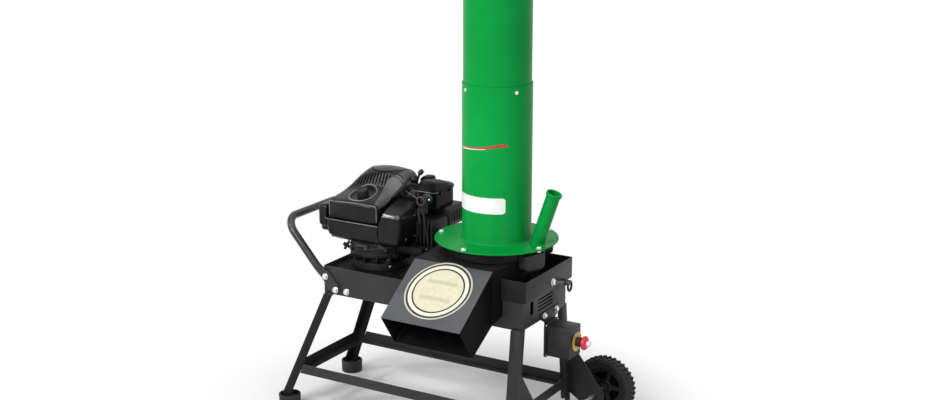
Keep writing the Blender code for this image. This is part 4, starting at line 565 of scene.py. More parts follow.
# painted shade: the chute's inner faces, right faces, underside and mouth floor are drawn near black, as if in shadow
repaint(chute, paintedDeepShadeBlack, lambda c, n: n.x > 0.6 or n.z < -0.5 or n.x * (chuteMiddle - c.x) > 60
    or (n.z > 0.2 and c.z < 400 and abs(c.x - chuteMiddle) < 120 and c.y > -340))
for node in ("leg_front_left", "leg_front_right", "leg_rear_left", "leg_rear_right", "rail_front", "rail_rear",
        "rail_left", "rail_right"):
    # painted shade: the left legs and left rail are drawn darker, as if their faces were in shadow
    dress(copyOf(node, plain["edge"], 2), paintedShadeBlack if node.endswith("_left") else black, node)
for node in ("wheel_bracket_front", "wheel_bracket_rear", "stop_bracket"):
    dress(copyOf(node, plain["thinEdge"], 2), black, node)
print("sheet metal dressed")


# Feed tube

sleeve = {"radius": 104.0, "wall": 3.0, "low": 617.2, "flangeT": 4.0, "flangeR": 186.3, "top": 1092.2}


def makeSleeve():
    s = sleeve
    r, rim, top, low = s["radius"], s["flangeR"], s["top"], s["low"]
    bore, face = r - s["wall"], low + s["flangeT"]
    profile = [(bore, top - 0.8), (bore + 0.8, top), (r - 0.8, top), (r, top - 0.8), (r, face + 5),
        (r + 1.2, face + 2.6), (r + 3.4, face + 0.8), (r + 5.5, face), (rim - 0.8, face), (rim, face - 0.8),
        (rim, low + 0.8), (rim - 0.8, low), (bore, low)]
    piece = lathe("feed_sleeve_skin", profile, steps=128)
    carve(piece, rod("pipe_hole", 13, -5, 12, (125.5, 0, low), steps=48))
    dress(piece, green, "feed_sleeve", smooth=28)


upper = {"radius": 100.7, "wall": 3.0, "low": 1002.2, "knee": 1374.2, "hopperH": 90.0, "hopperR": 166.0, "rimR": 4.5}


def makeUpperTube():
    u = upper
    r, wide, tall = u["radius"], u["hopperR"] - u["radius"], u["hopperH"] - 0.4
    outer = []
    for i in range(13):
        share = i / 12
        swell = share * share * (3 - 2 * share)
        outer.append((r + wide * (0.35 * swell + 0.65 * share), u["knee"] + tall * share))
    inner = [(x - u["wall"], z) for x, z in reversed(outer)]
    cx, cz, bead = u["hopperR"] + u["rimR"] - u["wall"], u["knee"] + tall, u["rimR"]
    rim = [(cx + bead * cos(radians(a)), cz + bead * sin(radians(a))) for a in range(-90, 181, 18)]
    profile = [(r, u["low"])] + outer[:-1] + rim + inner + [(r - u["wall"], u["low"])]
    dress(lathe("feed_hopper_skin", profile, steps=128), green, "feed_hopper", smooth=28)


pipe = {"radius": 21.0, "wall": 2.5, "length": 160.0, "lean": 19.0, "x": 137.0, "rim": 3.0, "rimLength": 12.0}


def makeSidePipe():
    p = pipe
    lean = radians(p["lean"])
    r, end, inner, wide = p["radius"], p["length"] / cos(lean), p["radius"] - p["wall"], p["radius"] + p["rim"]
    start = end - p["rimLength"]
    profile = [(r, -21), (r, start), (r + 1.0, start + 0.6), (wide - 0.4, start + 3), (wide, start + 4.4),
        (wide, end - 1), (wide - 1, end), (inner + 0.8, end), (inner, end - 0.8), (inner, -21)]
    face = sleeve["low"] + sleeve["flangeT"]
    piece = lathe("side_pipe_skin", profile, (p["x"], 0, face), (sin(lean), 0, cos(lean)), steps=64)
    below = slab("below", [(70, -60), (210, -60), (210, 60), (70, 60)], face - 80, face + 0.3)
    carve(piece, below)
    dress(piece, green, "side_pipe", smooth=28)
    bead = [(p["x"] + x / cos(lean), y, face + 0.8) for x, y in ring(p["radius"], 48)]
    cord("side_pipe_weld", bead, 2.2, green, closed=True, smooth=32)


makeSleeve()
makeUpperTube()
makeSidePipe()

flange = {"circle": 174.0, "bolts": (-94, -16, 54, 126, 194), "bare": -94, "lugs": (-19, 54, 126, 194),
    "lugHalf": 39.0, "lugZ": (556.0, 603.0), "lugReach": (130.0, 171.0), "drumR": 144.8, "screws": (-29, -124, 95),
    "screwZ": 1075.0}
for number, angle in enumerate(flange["bolts"], 1):
    x, y = flange["circle"] * cos(radians(angle)), flange["circle"] * sin(radians(angle))
    fix(bolt, f"flange_bolt_{number}", (x, y, sleeve["low"] + sleeve["flangeT"]), (0, 0, 1), roll=angle * 0.3)
    if angle != flange["bare"]:
        fix(bolt, f"flange_nut_{number}", (x, y, sleeve["low"] - 0.3), (0, 0, -1), roll=angle * 0.2)
for number, angle in enumerate(flange["lugs"], 1):  # boxed lugs on the drum that take the flange bolts
    outline = cornered(-flange["lugHalf"], flange["lugHalf"], *flange["lugZ"], (16, 1, 1, 16))
    lug = slab(f"drum_lug_{number}", outline, *flange["lugReach"], place=facingOut(angle))
    carve(lug, rod("drum_core", flange["drumR"], 500, 640, steps=96))
    softEdges(lug, 1.2, 3, 50)
    dress(lug, black, smooth=40)
for number, angle in enumerate(flange["screws"], 1):
    way, r = heading(angle), sleeve["radius"] - 0.3
    fix(screw, f"sleeve_screw_{number}", (way[0] * r, way[1] * r, flange["screwZ"]), way, 1.1)
print("feed tube built")


# Cutting chamber

drum = {"radius": 145.5, "wall": 3.0, "low": 541.9, "top": 616.9}


def makeDrum():
    d = drum
    inner = d["radius"] - d["wall"]
    profile = [(d["radius"], d["top"]), (d["radius"], d["low"]), (inner, d["low"]), (inner, d["top"])]
    piece = lathe("chamber_wall_skin", profile, steps=128)
    outline = [(-169, -155.5), (88, -155.5), (122, -69), (116, -40), (-128, -40), (-151, -80)]
    carve(piece, slab("window", outline, d["low"] - 1, 580))
    # painted shade: the drum wall is drawn in the darker shade black
    dress(piece, paintedShadeBlack, "chamber_wall", smooth=28)


makeDrum()
dress(copyOf("chamber_base"), black, "chamber_base")
for node, body in (("rotor_disc", "rotor"), ("knife_1", "rotor"), ("knife_2", "rotor"), ("counter_knife", "frame")):
    dress(copyOf(node, 0.3, 1), steel, node, body=body)
print("chamber built")


# Wheels, feet and axle

wheel = {"x": 249.0, "y": 262.0, "radius": 100.0, "width": 45.0, "lug": 5.0, "lugs": 36, "rimR": 64.0, "hub": 52.0,
    "hubR": 19.0, "axleR": 8.0, "spokes": 5, "spoke": 7.0, "web": 4.0, "lugHalf": 3.6}


def lugRow(name, place, shift, inner, outer):  # one block of tread, repeated round the tyre
    w = wheel
    low, high = w["radius"] - w["lug"] - 1.5, w["radius"] - 0.3
    half = w["lugHalf"]
    piece = drawLine(name, [(low, -half, inner), (low, half, inner), (low - 3, half, outer), (low - 3, -half, outer)])
    bpy.ops.mesh.edge_face_add()
    bpy.ops.mesh.extrude_region_move(TRANSFORM_OT_translate={"value": ((high - low) * mm, 0, 0)})
    bpy.ops.transform.resize(value=(1, 0.82, 0.9))
    bpy.ops.mesh.select_all(action="SELECT")
    bpy.ops.mesh.spin(steps=w["lugs"], angle=2 * pi, center=(0, 0, 0), axis=(0, 0, 1), dupli=True)
    mend(piece)
    piece.matrix_world = place @ Matrix.Rotation(shift, 4, "Z")
    return settle(piece)


def makeTyre(name, side):
    w = wheel
    half, seat = w["width"] / 2, w["rimR"] + 0.3
    crown = w["radius"] - w["lug"]
    profile = mirrored([(seat, -half + 8), (seat + 2, -half + 5.5), (seat + 6, -half + 2.5),
        (seat + 12, -half + 0.4), (seat + 17, -half), (seat + 22, -half + 0.8), (crown - 2.5, -half + 4.5),
        (crown - 0.6, -half + 9), (crown, -5)])
    centre, axis = (w["x"], side * w["y"], w["radius"]), (0, side, 0)
    body = lathe(f"tyre_{name}_skin", profile, centre, axis, steps=120)
    place = turnedTo(centre, axis)
    step = pi / w["lugs"]
    rows = [lugRow("lug_left", place, 0, -half + 3.2, -4.5), lugRow("lug_right", place, step, 4.5, half - 3.2),
        lugRow("lug_middle", place, step * 0.5, -4.2, 4.2)]
    pick(body, *rows)
    bpy.ops.object.join()
    dress(body, treadRubber, f"tyre_{name}", body=f"wheel_{name}", smooth=30)
    for number, r in enumerate((seat + 9.5, seat + 20), 1):
        line = lathe(f"tyre_{name}_line_{number}", [(r - 1.1, half - 1.4), (r, half + 0.5), (r + 1.1, half - 1.4)],
            centre, axis, steps=96)
        dress(line, treadRubber, body=f"wheel_{name}")


def makeRim(name, side):
    w = wheel
    half, hub, rise, web, r = w["width"] / 2 - 8, w["hub"] / 2, w["hubR"], w["web"], w["rimR"]
    bore, low, high = w["axleR"] + 0.3, rise + 5, r - 14
    profile = mirrored([(bore, -hub + 1), (bore + 1, -hub), (rise - 3, -hub), (rise - 2, -hub + 1), (rise, -web - 3),
        (rise + 3, -web), (r - 10, -web), (r - 8, -half + 2), (r - 7, -half + 0.6), (r - 5, -half), (r - 1, -half),
        (r, -half + 1)])
    centre, axis = (w["x"], side * w["y"], w["radius"]), (0, side, 0)
    rim = lathe(f"rim_{name}_skin", profile, centre, axis, steps=96)
    place = turnedTo(centre, axis)
    for k in range(w["spokes"]):
        middle, share = 2 * pi * (k + 0.5) / w["spokes"], pi / w["spokes"]
        inner, outer = share - w["spoke"] / low, share - w["spoke"] / high
        outline = [(low, middle + t * inner) for t in (-1, -0.5, 0, 0.5, 1)]
        outline += [(high, middle + t * outer) for t in (1, 0.6, 0.2, -0.2, -0.6, -1)]
        cutter = slab("spoke_window", [(reach * cos(a), reach * sin(a)) for reach, a in outline], -9, 9, place=place)
        softEdges(cutter, 3.0, 3, 60)
        carve(rim, cutter)
    dress(rim, rimPlastic, f"rim_{name}", body=f"wheel_{name}", smooth=30)
    # painted shade: a near-black disc behind the spoke windows, so that they read as dark recesses
    plate = lathe(f"rim_{name}_web", mirrored([(rise + 2, -0.9), (r - 9, -0.9)]), centre, axis, 72)
    dress(plate, paintedGapShade, body=f"wheel_{name}")
    profile = [(0, 0.4), (15, 0.4), (15, 1.9), (8.6, 2.1), (8.6, 4.2), (7.6, 4.9), (0, 4.9)]
    hubEnd = (w["x"], side * (w["y"] + hub), w["radius"])
    dress(lathe(f"axle_cap_{name}", profile, hubEnd, axis, steps=48), zinc)


for name, side in (("front", -1), ("rear", 1)):
    makeTyre(name, side)
    makeRim(name, side)
r, reach = wheel["axleR"], wheel["y"] + wheel["hub"] / 2 + 5
profile = mirrored([(0, -reach), (r - 1, -reach), (r, -reach + 1)])
axle = lathe("wheel_axle_skin", profile, (wheel["x"], 0, wheel["radius"]), (0, 1, 0), 48)
dress(axle, steel, "wheel_axle")

foot = {"radius": 35.5, "height": 40.0, "pocketR": 30.0, "pocket": 12.0}
for name in ("front", "rear"):
    low, high = corners(f"foot_{name}")
    r, h, inner, floor = foot["radius"], foot["height"], foot["pocketR"], foot["height"] - foot["pocket"]
    profile = [(0, 0), (r - 4, 0), (r - 1.8, 0.8), (r - 1, 2.4), (r - 1, h - 9), (r, h - 7.5), (r, h - 2),
        (r - 0.6, h - 0.5), (r - 2, h), (inner + 0.8, h), (inner, h - 0.8), (inner, floor), (0, floor)]
    centre = ((low[0] + high[0]) / 2, (low[1] + high[1]) / 2, 0)
    dress(lathe(f"foot_{name}_skin", profile, centre, steps=72), rubber, f"foot_{name}")
print("wheels and feet built")


# Push handle

handle = {"radius": 12.5, "flat": 6.0, "flatWidth": 36.0, "end": (-488.0, 404.0), "top": (-674.0, 617.0),
    "bend": 55.0, "wall": 141.9}


def loft(name, sections):  # a face extruded ring by ring, each new ring moved to its own points
    piece = drawLine(name, sections[0])
    bpy.ops.mesh.edge_face_add()
    for before, after in zip(sections, sections[1:]):
        bpy.ops.mesh.extrude_region_move(TRANSFORM_OT_translate={"value": (0, 0, 0)})
        mesh = bmesh.from_edit_mesh(piece.data)
        for vert in [v for v in mesh.verts if v.select]:
            here = vert.co / mm
            nearest = min(range(len(before)), key=lambda i: (Vector(before[i]) - here).length_squared)
            vert.co = Vector(after[nearest]) * mm
        bmesh.update_edit_mesh(piece.data)
    mend(piece)
    piece.matrix_world = Matrix.Translation(spot(0, 0, 0))
    return settle(piece)


def handleRoute():
    h = handle
    start, top = Vector((h["end"][0], 0, h["end"][1])), Vector((h["top"][0], 0, h["top"][1]))
    run, length = (top - start).normalized(), (top - start).length
    flatY, roundY = h["wall"] + h["flat"] / 2, h["wall"] + h["radius"]
    points = []
    flare = ((0, 0), (30, 0), (66, 0), (72, 0.12), (78, 0.35), (85, 0.6), (92, 0.8), (100, 0.94), (108, 1))
    for distance, share in flare:  # from the flat end to the round tube
        points.append((start + run * distance + Vector((0, -(flatY + (roundY - flatY) * share), 0)), share))
    centre = start + run * (length - h["bend"]) + Vector((0, -(roundY - h["bend"]), 0))
    for i in range(17):
        turn = pi / 2 * i / 16
        points.append((centre + (Vector((0, -1, 0)) * cos(turn) + run * sin(turn)) * h["bend"], 1))
    return points, run


def makeHandle():
    h = handle
    half, run = handleRoute()
    route = half + [(Vector((p.x, -p.y, p.z)), share) for p, share in reversed(half)]
    across = Vector((0, 1, 0)).cross(run).normalized()
    sections = []
    for k, (here, share) in enumerate(route):
        way = (route[min(k + 1, len(route) - 1)][0] - route[max(k - 1, 0)][0]).normalized()
        if share < 1:
            way = run if here.y < 0 else -run
        beside = way.cross(across).normalized()
        wide = h["flatWidth"] / 2 + (h["radius"] - h["flatWidth"] / 2) * share
        thick = h["flat"] / 2 + (h["radius"] - h["flat"] / 2) * share
        power = 0.4 + 0.6 * share
        ringOf = []
        for i in range(20):
            c, s = cos(2 * pi * (i + 0.5) / 20), sin(2 * pi * (i + 0.5) / 20)
            a, b = wide * abs(c) ** power * (1 if c > 0 else -1), thick * abs(s) ** power * (1 if s > 0 else -1)
            ringOf.append(here + across * a + beside * b)
        sections.append(ringOf)
    dress(loft("push_handle_skin", sections), glossBlack, "push_handle", smooth=40)
    for name, side in (("front", -1), ("rear", 1)):
        y = side * (h["wall"] + h["flat"])
        for number, (x, z) in enumerate(((-541, 456), (-503, 418)), 1):
            fix(bolt, f"handle_bolt_{name}_{number}", (x + 12, y, z - 8), (0, side, 0), 1.15)
        fix(bolt, f"beam_bolt_{name}", (-454, side * 141.6, 408), (0, side, 0), 1.15)


makeHandle()
print("handle built")


# Emergency stop

stop = {"y": 44.0, "z": 320.0, "ringR": 30.0, "ringT": 2.0, "collarR": 15.0, "collar": 15.0, "stemR": 9.0,
    "headR": 21.5, "travel": 5.0, "wall": 4.0}


def makeStop():
    s = stop
    centre, axis = (corners("stop_box")[1][0], s["y"], s["z"]), (1, 0, 0)
    dress(copyOf("stop_box", 0.5, 2), boxPlastic, "stop_box")
    dress(copyOf("stop_lid", 0.3, 2), boxPlastic, "stop_lid")
    hole, r, t = s["collarR"] + 0.3, s["ringR"], s["ringT"]
    profile = [(hole, 0.3), (r - 0.4, 0.3), (r, 0.7), (r, t - 0.4), (r - 0.7, t + 0.3), (hole, t + 0.3)]
    dress(lathe("stop_ring_skin", profile, centre, axis, 80), yellow, "stop_ring")
    bore, neck, back, r, long = s["stemR"] + 0.3, s["stemR"] + 2.7, -s["wall"] - 8, s["collarR"], s["collar"]
    profile = [(bore, back), (neck, back), (neck, 0.3), (r, 0.3), (r, 4), (r - 0.7, 4.4), (r - 0.7, 5), (r, 5.4),
        (r, long - 2), (r - 0.6, long - 0.6), (r - 2, long), (bore, long)]
    dress(lathe("stop_collar_skin", profile, centre, axis, 64), boxPlastic, "stop_collar")
    head, r = s["collar"] + s["travel"] + 1.5, s["headR"]
    profile = [(0, back - 6), (s["stemR"], back - 6), (s["stemR"], head), (r - 5, head), (r - 1.6, head + 1.2),
        (r, head + 3.4), (r, head + 7), (r - 0.6, head + 9), (r - 3, head + 11.4), (r - 7, head + 13.6),
        (r - 8, head + 13.2), (6.8, head + 14.6), (5.6, head + 15.6), (0, head + 15.8)]
    button = lathe("stop_button_skin", profile, centre, axis, 80)
    dress(button, red, "stop_button", body="stop_push", smooth=40)
    profile = [(0, head + 12), (8.5, head + 12), (9, head + 17), (8.4, head + 21), (7, head + 24),
        (4.2, head + 25.8), (0, head + 26.2)]
    cap = lathe("stop_button_cap", profile, centre, axis, 48)
    dress(cap, milky, body="stop_push", smooth=40)
    low, high = corners("stop_lid")
    for number, (a, b) in enumerate(((0.07, 0.055), (0.07, 0.945), (0.93, 0.055), (0.93, 0.945)), 1):
        y, z = low[1] + (high[1] - low[1]) * a, low[2] + (high[2] - low[2]) * b
        fix(screw, f"stop_screw_{number}", (high[0] - 0.6, y, z), (1, 0, 0), 0.62)


makeStop()

pin = {"off": 9.0, "bracketY": (-6.0, 70.0), "bracketZ": 401.0, "bolt": (18, 503), "loop": (114, 464, 12, 15),
    "sleeve": (84, 484.6), "clip": (100, 479), "rod": ((8, 24, 502), (9, 40, 498), (9, 70, 489), (9, 98, 480),
    (9, 112, 472))}


def makePin():  # the bolt, rod and loop on the pan's right wall, and the bolts of the stop bracket
    p = pin
    for number, y in enumerate(p["bracketY"], 1):
        fix(bolt, f"stop_bolt_{number}", (corners("stop_bracket")[1][0], y, p["bracketZ"]), (1, 0, 0), 1.1)
    wall = corners("chamber_pan")[1][0]
    off = wall + p["off"]
    fix(bolt, "pan_bolt", (wall, *p["bolt"]), (1, 0, 0), 1.25)
    cord("pin_rod", [(wall + x, y, z) for x, y, z in p["rod"]], 4.4, darkSteel, 16)
    y0, z0, wide, high = p["loop"]
    cord("pin_loop", [(off, y0 + wide * y, z0 + high * z) for y, z in ring(1, 32)], 3.6, black, 16, closed=True)
    profile = mirrored([(3.7, -10), (6, -10), (6.4, -9.4)])
    dress(lathe("pin_sleeve", profile, (off, *p["sleeve"]), (0, 1, -0.3), 32), black, smooth=50)
    plateAt("pin_clip", roundCorners(-7, 7, -9, 9, 2, 3), 11, (wall, *p["clip"]), (1, 0, 0), black, 0.8,
        "black_paint")


makePin()

weld = {"radius": 3.6, "z": 392.0, "y": 145.8, "steps": 24, "length": 32.0}
for name in ("front_left", "front_right", "rear_left", "rear_right"):  # fillet welds on the legs' tops
    low, high = corners(f"leg_{name}")
    x0, wide = (low[0], high[0] - low[0]) if name.endswith("right") else (high[0] - 31, weld["length"])
    y, n = weld["y"] * (-1 if name.startswith("front") else 1), weld["steps"]
    route = [(x0 + 1.5 + (wide - 3) * i / n, y + 0.4 * (i % 2), weld["z"] + 0.3 * (i % 3)) for i in range(n + 1)]
    cord(f"leg_weld_{name}", route, weld["radius"], black, smooth=60)
print("stop box built")


# Engine

engine = {"x": -417.0, "deck": 470.0, "ringR": 86.0, "ring": 24.0, "sumpR": 98.0, "low": 562.0, "lip": 626.0,
    "left": -560.0, "seam": -356.0, "front": -108.0, "back": 134.0, "right": -277.0, "wellR": 86.0}
tankSlices = (  # y, then x and z of: left side, left top edge, right top edge, right side
    (-105, -522, 668, -510, 677, -397, 679, -389, 668), (-101, -540, 668, -526, 681, -379, 685, -367, 672),
    (-90, -552, 668, -530, 686, -378, 692, -360, 677), (-50, -556, 670, -526, 694, -386, 705, -357, 688),
    (-14, -556, 674, -520, 706, -396, 718, -356, 708), (4, -553, 680, -494, 733, -388, 747, -343, 728),
    (14, -552, 684, -486, 747, -362, 763, -336, 742), (40, -552, 686, -484, 762, -350, 770, -325, 756),
    (75, -550, 684, -488, 761, -354, 767, -330, 748), (110, -544, 676, -492, 739, -366, 745, -345, 714),
    (134, -520, 662, -500, 690, -380, 691, -360, 670))
tank = {"capX": -448.0, "capY": -50.0, "capZ": 698.0, "slope": 16.0, "wellR": 41.0, "slots": 11, "slot": 4.6,
    "grille": 124.0, "grilleX": -441.0, "dome": (-416, 64, 62, 46)}


def sliceAt(y):  # a smooth curve through the slices
    rows = tankSlices
    k = max(i for i in range(len(rows) - 1) if rows[i][0] <= y)
    a, b = rows[max(k - 1, 0)], rows[k]
    c, d = rows[k + 1], rows[min(k + 2, len(rows) - 1)]
    span = c[0] - b[0]
    t = (y - b[0]) / span
    values = []
    for i in range(1, 9):
        inSlope = 0 if b[0] == a[0] else (c[i] - a[i]) / (c[0] - a[0]) * span
        outSlope = 0 if d[0] == c[0] else (d[i] - b[i]) / (d[0] - b[0]) * span
        values.append((2 * t ** 3 - 3 * t ** 2 + 1) * b[i] + (t ** 3 - 2 * t ** 2 + t) * inSlope
            + (-2 * t ** 3 + 3 * t ** 2) * c[i] + (t ** 3 - t ** 2) * outSlope)
    return values


def rounded(start, end, out, steps):  # a bow from one point to the other, bulging by out
    dx, dz = end[0] - start[0], end[1] - start[1]
    length = max((dx * dx + dz * dz) ** 0.5, 0.001)
    points = []
    for i in range(steps + 1):
        t = i / steps
        bow = 4 * out * t * (1 - t)
        points.append((start[0] + dx * t + bow * dz / length, start[1] + dz * t - bow * dx / length))
    return points


def tankRing(y):
    leftX, leftZ, topLeftX, topLeftZ, topRightX, topRightZ, rightX, rightZ = sliceAt(y)
    low, foot = engine["lip"] + 0.3, min(rightX, engine["seam"] - 2)
    waist = rightZ - 0.9 * (rightX - foot) - 8
    points = [(leftX + 1.5, low), (foot - 1.5, low), (foot, low + 1.5), (foot, waist)]
    crown = 2 + 6 * min(max((y + 100) / 120, 0), 1)
    points += rounded((rightX, rightZ), (topRightX, topRightZ), 5, 6)
    points += rounded((topRightX, topRightZ), (topLeftX, topLeftZ), crown, 12)[1:]
    points += rounded((topLeftX, topLeftZ), (leftX, leftZ), 8, 8)[1:]
    points.append((leftX, low + 1.5))
    return [(x, y, z) for x, z in points]


def skinSpot(x, y, lift=0.0):  # the place on the cover's upper skin above x and y
    chain = tankRing(y)[4:-1]
    for (x1, _, z1), (x2, _, z2) in zip(chain, chain[1:]):
        if x2 <= x <= x1:
            return x, y, z2 + (z1 - z2) * (x - x2) / max(x1 - x2, 0.001) + lift
    return x, y, (chain[0] if x > chain[0][0] else chain[-1])[2] + lift


def ellipseOnSkin(x, y, across, along, lift, count=72):
    def stretch(share, size):
        return size * abs(share) ** 0.85 * (1 if share > 0 else -1)

    return [skinSpot(x + stretch(c, across), y + stretch(s, along), lift) for c, s in ring(1, count)]


def sideBand():  # the grey strip that runs down the cover's right shoulder
    sections = []
    for y in [-97, -92] + list(range(-84, 96, 6)) + [100, 104]:
        topRightX, topRightZ, rightX, rightZ = sliceAt(y)[4:]
        arc = rounded((rightX, rightZ), (topRightX, topRightZ), 5, 6)
        dx, dz = topRightX - rightX, topRightZ - rightZ
        length = (dx * dx + dz * dz) ** 0.5
        out = (dz / length, -dx / length)
        ends = 0.5 if -97 < y < 104 else -0.6
        outer = [(x + out[0] * ends, y, z + out[1] * ends) for x, z in arc]
        inner = [(x - out[0] * 1.2, y, z - out[1] * 1.2) for x, z in reversed(arc)]
        sections.append(outer + inner)
    return loft("cover_band", sections)


def capSeat():
    lean = radians(tank["slope"])
    return (tank["capX"], tank["capY"], tank["capZ"]), (0, -sin(lean), cos(lean))


def makeTank():
    e, t = engine, tank
    stations = [-105, -104, -102.8, -101, -98, -94, -90]
    stations += [*range(-84, -14, 7), *range(-14, 20, 3), *range(20, 131, 6), 134]
    skin = loft("tank_cover_skin", [tankRing(y) for y in stations])
    softEdges(skin, 1.6, 3, 40)
    seat, up = capSeat()
    r = t["wellR"]
    cup = lathe("cup", [(0, 0), (r - 4, 0), (r - 1.2, 1.2), (r, 4), (r, 50), (0, 50)], seat, up, 96)
    carve(skin, rod("well", 54, e["lip"] - 10, 678, (e["x"], 0, 0), steps=64), cup,
        rod("neck", 12, -14, 2, seat, up, 48))
    for k in range(t["slots"]):
        x = t["grilleX"] + (k - (t["slots"] - 1) / 2) * t["grille"] / t["slots"]
        carve(skin, slab("slot", roundCorners(x - t["slot"] / 2, x + t["slot"] / 2, -8, 15, 2.2, 3), 696, 790))
    dress(skin, tankPlastic, "tank_cover", smooth=38)
    # painted shade: a near-black line round the dome stands in for the shadow in its groove
    cord("dome_groove_painted_shade", ellipseOnSkin(*t["dome"], -1.2), 2.0, paintedGapShade, closed=True)
    # painted highlight: a light grey bead round the cap's well
    wellRim = ellipseOnSkin(t["capX"], t["capY"], r + 1.6, (r + 1.6) * cos(radians(t["slope"])), 0.0)
    cord("cap_well_painted_highlight", wellRim, 1.8, paintedEdgeHighlight, closed=True)
    dress(sideBand(), coverBand, smooth=50)
    # painted highlight: a light grey bead along the cover's front top edge
    edge = tankRing(-100.6)[2:]
    for end in (0, -1):
        edge[end] = (*edge[end][:2], e["lip"] + 9)
    cord("cover_front_painted_highlight", edge, 1.2, paintedEdgeHighlight)
    # painted shade: a near-black strip above the shroud's lip stands in for the shadow in the groove there
    grooveShade = [(x, -104.7, e["lip"] + 3.4) for x in (tankRing(-104.7)[0][0] + 1, -440, e["seam"] - 5)]
    cord("cover_groove_painted_shade", grooveShade, 2.4, paintedGapShade)


def shroudRing(left, inset, z):
    e = engine
    outline = cornered(left, e["seam"], e["front"] + inset, e["back"] - inset, (1.2, 1.2, 20, 20))
    return [(x, y, z) for x, y in outline]


def makeShroud():
    e = engine
    b, lip, left = e["low"], e["lip"], e["left"]
    rings = [shroudRing(left + inset, push, z) for inset, push, z in ((30, 14, b), (23, 10, b + 3), (16, 6, b + 7),
        (9, 2.6, b + 13), (6, 1.0, b + 22), (4.5, 0.2, b + 40), (4, 0, lip - 9), (3.6, -0.2, lip - 7),
        (1.2, -2.4, lip - 5.6), (0.2, -3, lip - 4), (0, -3, lip - 1.6), (0.8, -2.4, lip - 0.4), (2, -1.4, lip))]
    piece = loft("engine_cowl_skin", rings)
    slit = slab("slit", [(-359.4, -115), (-355, -115), (-355, -100), (-359.4, -100)], b + 26, lip - 12)
    carve(piece, rod("shroud_well", e["wellR"], b - 10, lip + 10, (e["x"], 0, 0)),
        rod("rope_hole", 3, -5, 120, (left, -66, b + 44), (1, 0, 0), 24), slit)
    dress(piece, cover, "engine_cowl", smooth=38)
    for number, (x, y) in enumerate(((-543, -80), (-372, -95), (-543, 104)), 1):
        fix(screw, f"shroud_screw_{number}", (x, y, b - 0.2), (0, 0, -1), 1.1, paint=darkSteel)
    # painted highlight: a light grey bead along the shroud's front and left lip
    front = [(x, y, lip - 1.0) for x, y in cornered(left, e["seam"] - 1, e["front"] - 3, 96, (0.5, 0.5, 8, 20))]
    front = [p for p in front if p[1] < -85 or p[0] < left + 1]
    cord("shroud_lip_painted_highlight", sorted(front, key=lambda p: -p[0] if p[1] < -85 else 1000 + p[1]), 1.3, paintedEdgeHighlight)
    housing = loft("starter_housing", [[(left + 3 - push, y, z) for y, z in roundCorners(-98 + k, -34 - k, 592 + k,
        664 - k, 13 - k / 2)] for push, k in ((0, 0), (19, 0), (26, 1.5), (30, 5), (31, 9))])
    carve(housing, slabAlong("grip_slot", roundCorners(-84, -48, 560, 642, 5), left - 60, left - 0.5))
    softEdges(housing, 0.8, 2, 50)
    dress(housing, cover, smooth=45)


side = {"edge": 664.0, "crest": 11.4, "climb": 14.0, "twist": 25.0, "shelf": 659.7, "notch": 15.0}


def sideRing(back, inset, z, climbs=False):
    e = engine
    points = []
    for x, y in cornered(e["seam"] + 0.3, e["right"] - inset, e["front"] + inset, back - inset * 0.6,
            (17, 14, 1.2, 1.2), 8):
        rise = 0
        if climbs:
            share = (y - e["front"]) / (back - e["front"])
            rise = share * (side["climb"] + side["twist"] * (e["right"] - x) / (e["right"] - e["seam"]))
        points.append((x, y, z + rise))
    return points


def makeSideCover():
    e, s = engine, side
    b, top, seam = e["low"], s["edge"], e["seam"]
    low = [sideRing(e["back"], push, z) for push, z in ((18, b), (12, b + 3), (7, b + 9), (3, b + 18), (0.8, b + 28),
        (0, b + 36), (0, s["shelf"] - 2), (1.5, s["shelf"]))]
    high = [sideRing(s["crest"], push, z, z > e["lip"]) for push, z in ((0, e["lip"]), (0, top - 13.6),
        (0.4, top - 12.2), (1.2, top - 10.8), (7.4, top - 1), (8.8, top + 0.3), (10.5, top + 1), (18, top + 2.4),
        (34, top + 4))]
    piece = loft("side_cowl_skin", low)
    carve(piece, loft("side_top", high), operation="UNION")
    notch = [(seam + s["notch"], top - 1.5), (seam + s["notch"], top + 60), (seam - 3, top + 60),
        (seam - 3, e["lip"] + 1), (seam + 1, e["lip"] + 1)]
    carve(piece, rod("side_well", e["wellR"], b - 10, e["lip"] + 10, (e["x"], 0, 0)),
        slabAcross("notch", notch, -120, 20))
    dress(piece, cover, "side_cowl", smooth=38)
    # partly real gloss and partly painted highlight: the crest's front faces are lighter as well as glossier
    repaint(piece, glossAndPaintedHighlight, lambda c, n: n.y < -0.5 and n.z > 0.3 and 650 < c.z < 668)
    for number, (y, z) in enumerate(((-70, b + 24), (-20, b + 24), (-20, top - 14)), 1):
        fix(screw, f"side_screw_{number}", (e["right"] - 0.2, y, z), (1, 0, 0), 1.0, paint=darkSteel)
    outline = [(0, b + 34), (1.6, b + 38), (1.6, b + 66), (0, b + 70)]
    for number, y in enumerate((-62, -50, -38, -26), 1):  # ribs on the lower side
        dress(slabAcross(f"side_rib_{number}", outline, y - 1.4, y + 1.4, e["right"] - 0.3), cover, smooth=40)


airFilter = {"left": -311.0, "right": -230.0, "front": 12.0, "back": 156.0, "low": 660.0, "edge": 718.0,
    "high": 753.0, "corner": 28.0, "arch": 5.0}


def filterRing(inset, z, arch=0.0):
    f = airFilter
    x0, x1 = f["left"] + inset, f["right"] - inset
    corner = min(f["corner"] - inset / 2, (x1 - x0) / 2 - 0.2)
    points = []
    for x, y in cornered(x0, x1, f["front"] + inset, f["back"] - inset, (corner,) * 4, 10):
        over = max(z - f["edge"], 0)
        fall = 1 - 0.62 * min(max((y - 70) / 80, 0), 1) - 0.3 * min(max((x - f["left"]) / 81, 0), 1)
        points.append((x, y, z - over + over * fall + arch * (1 - ((x - (x0 + x1) / 2) / ((x1 - x0) / 2)) ** 2)))
    return points


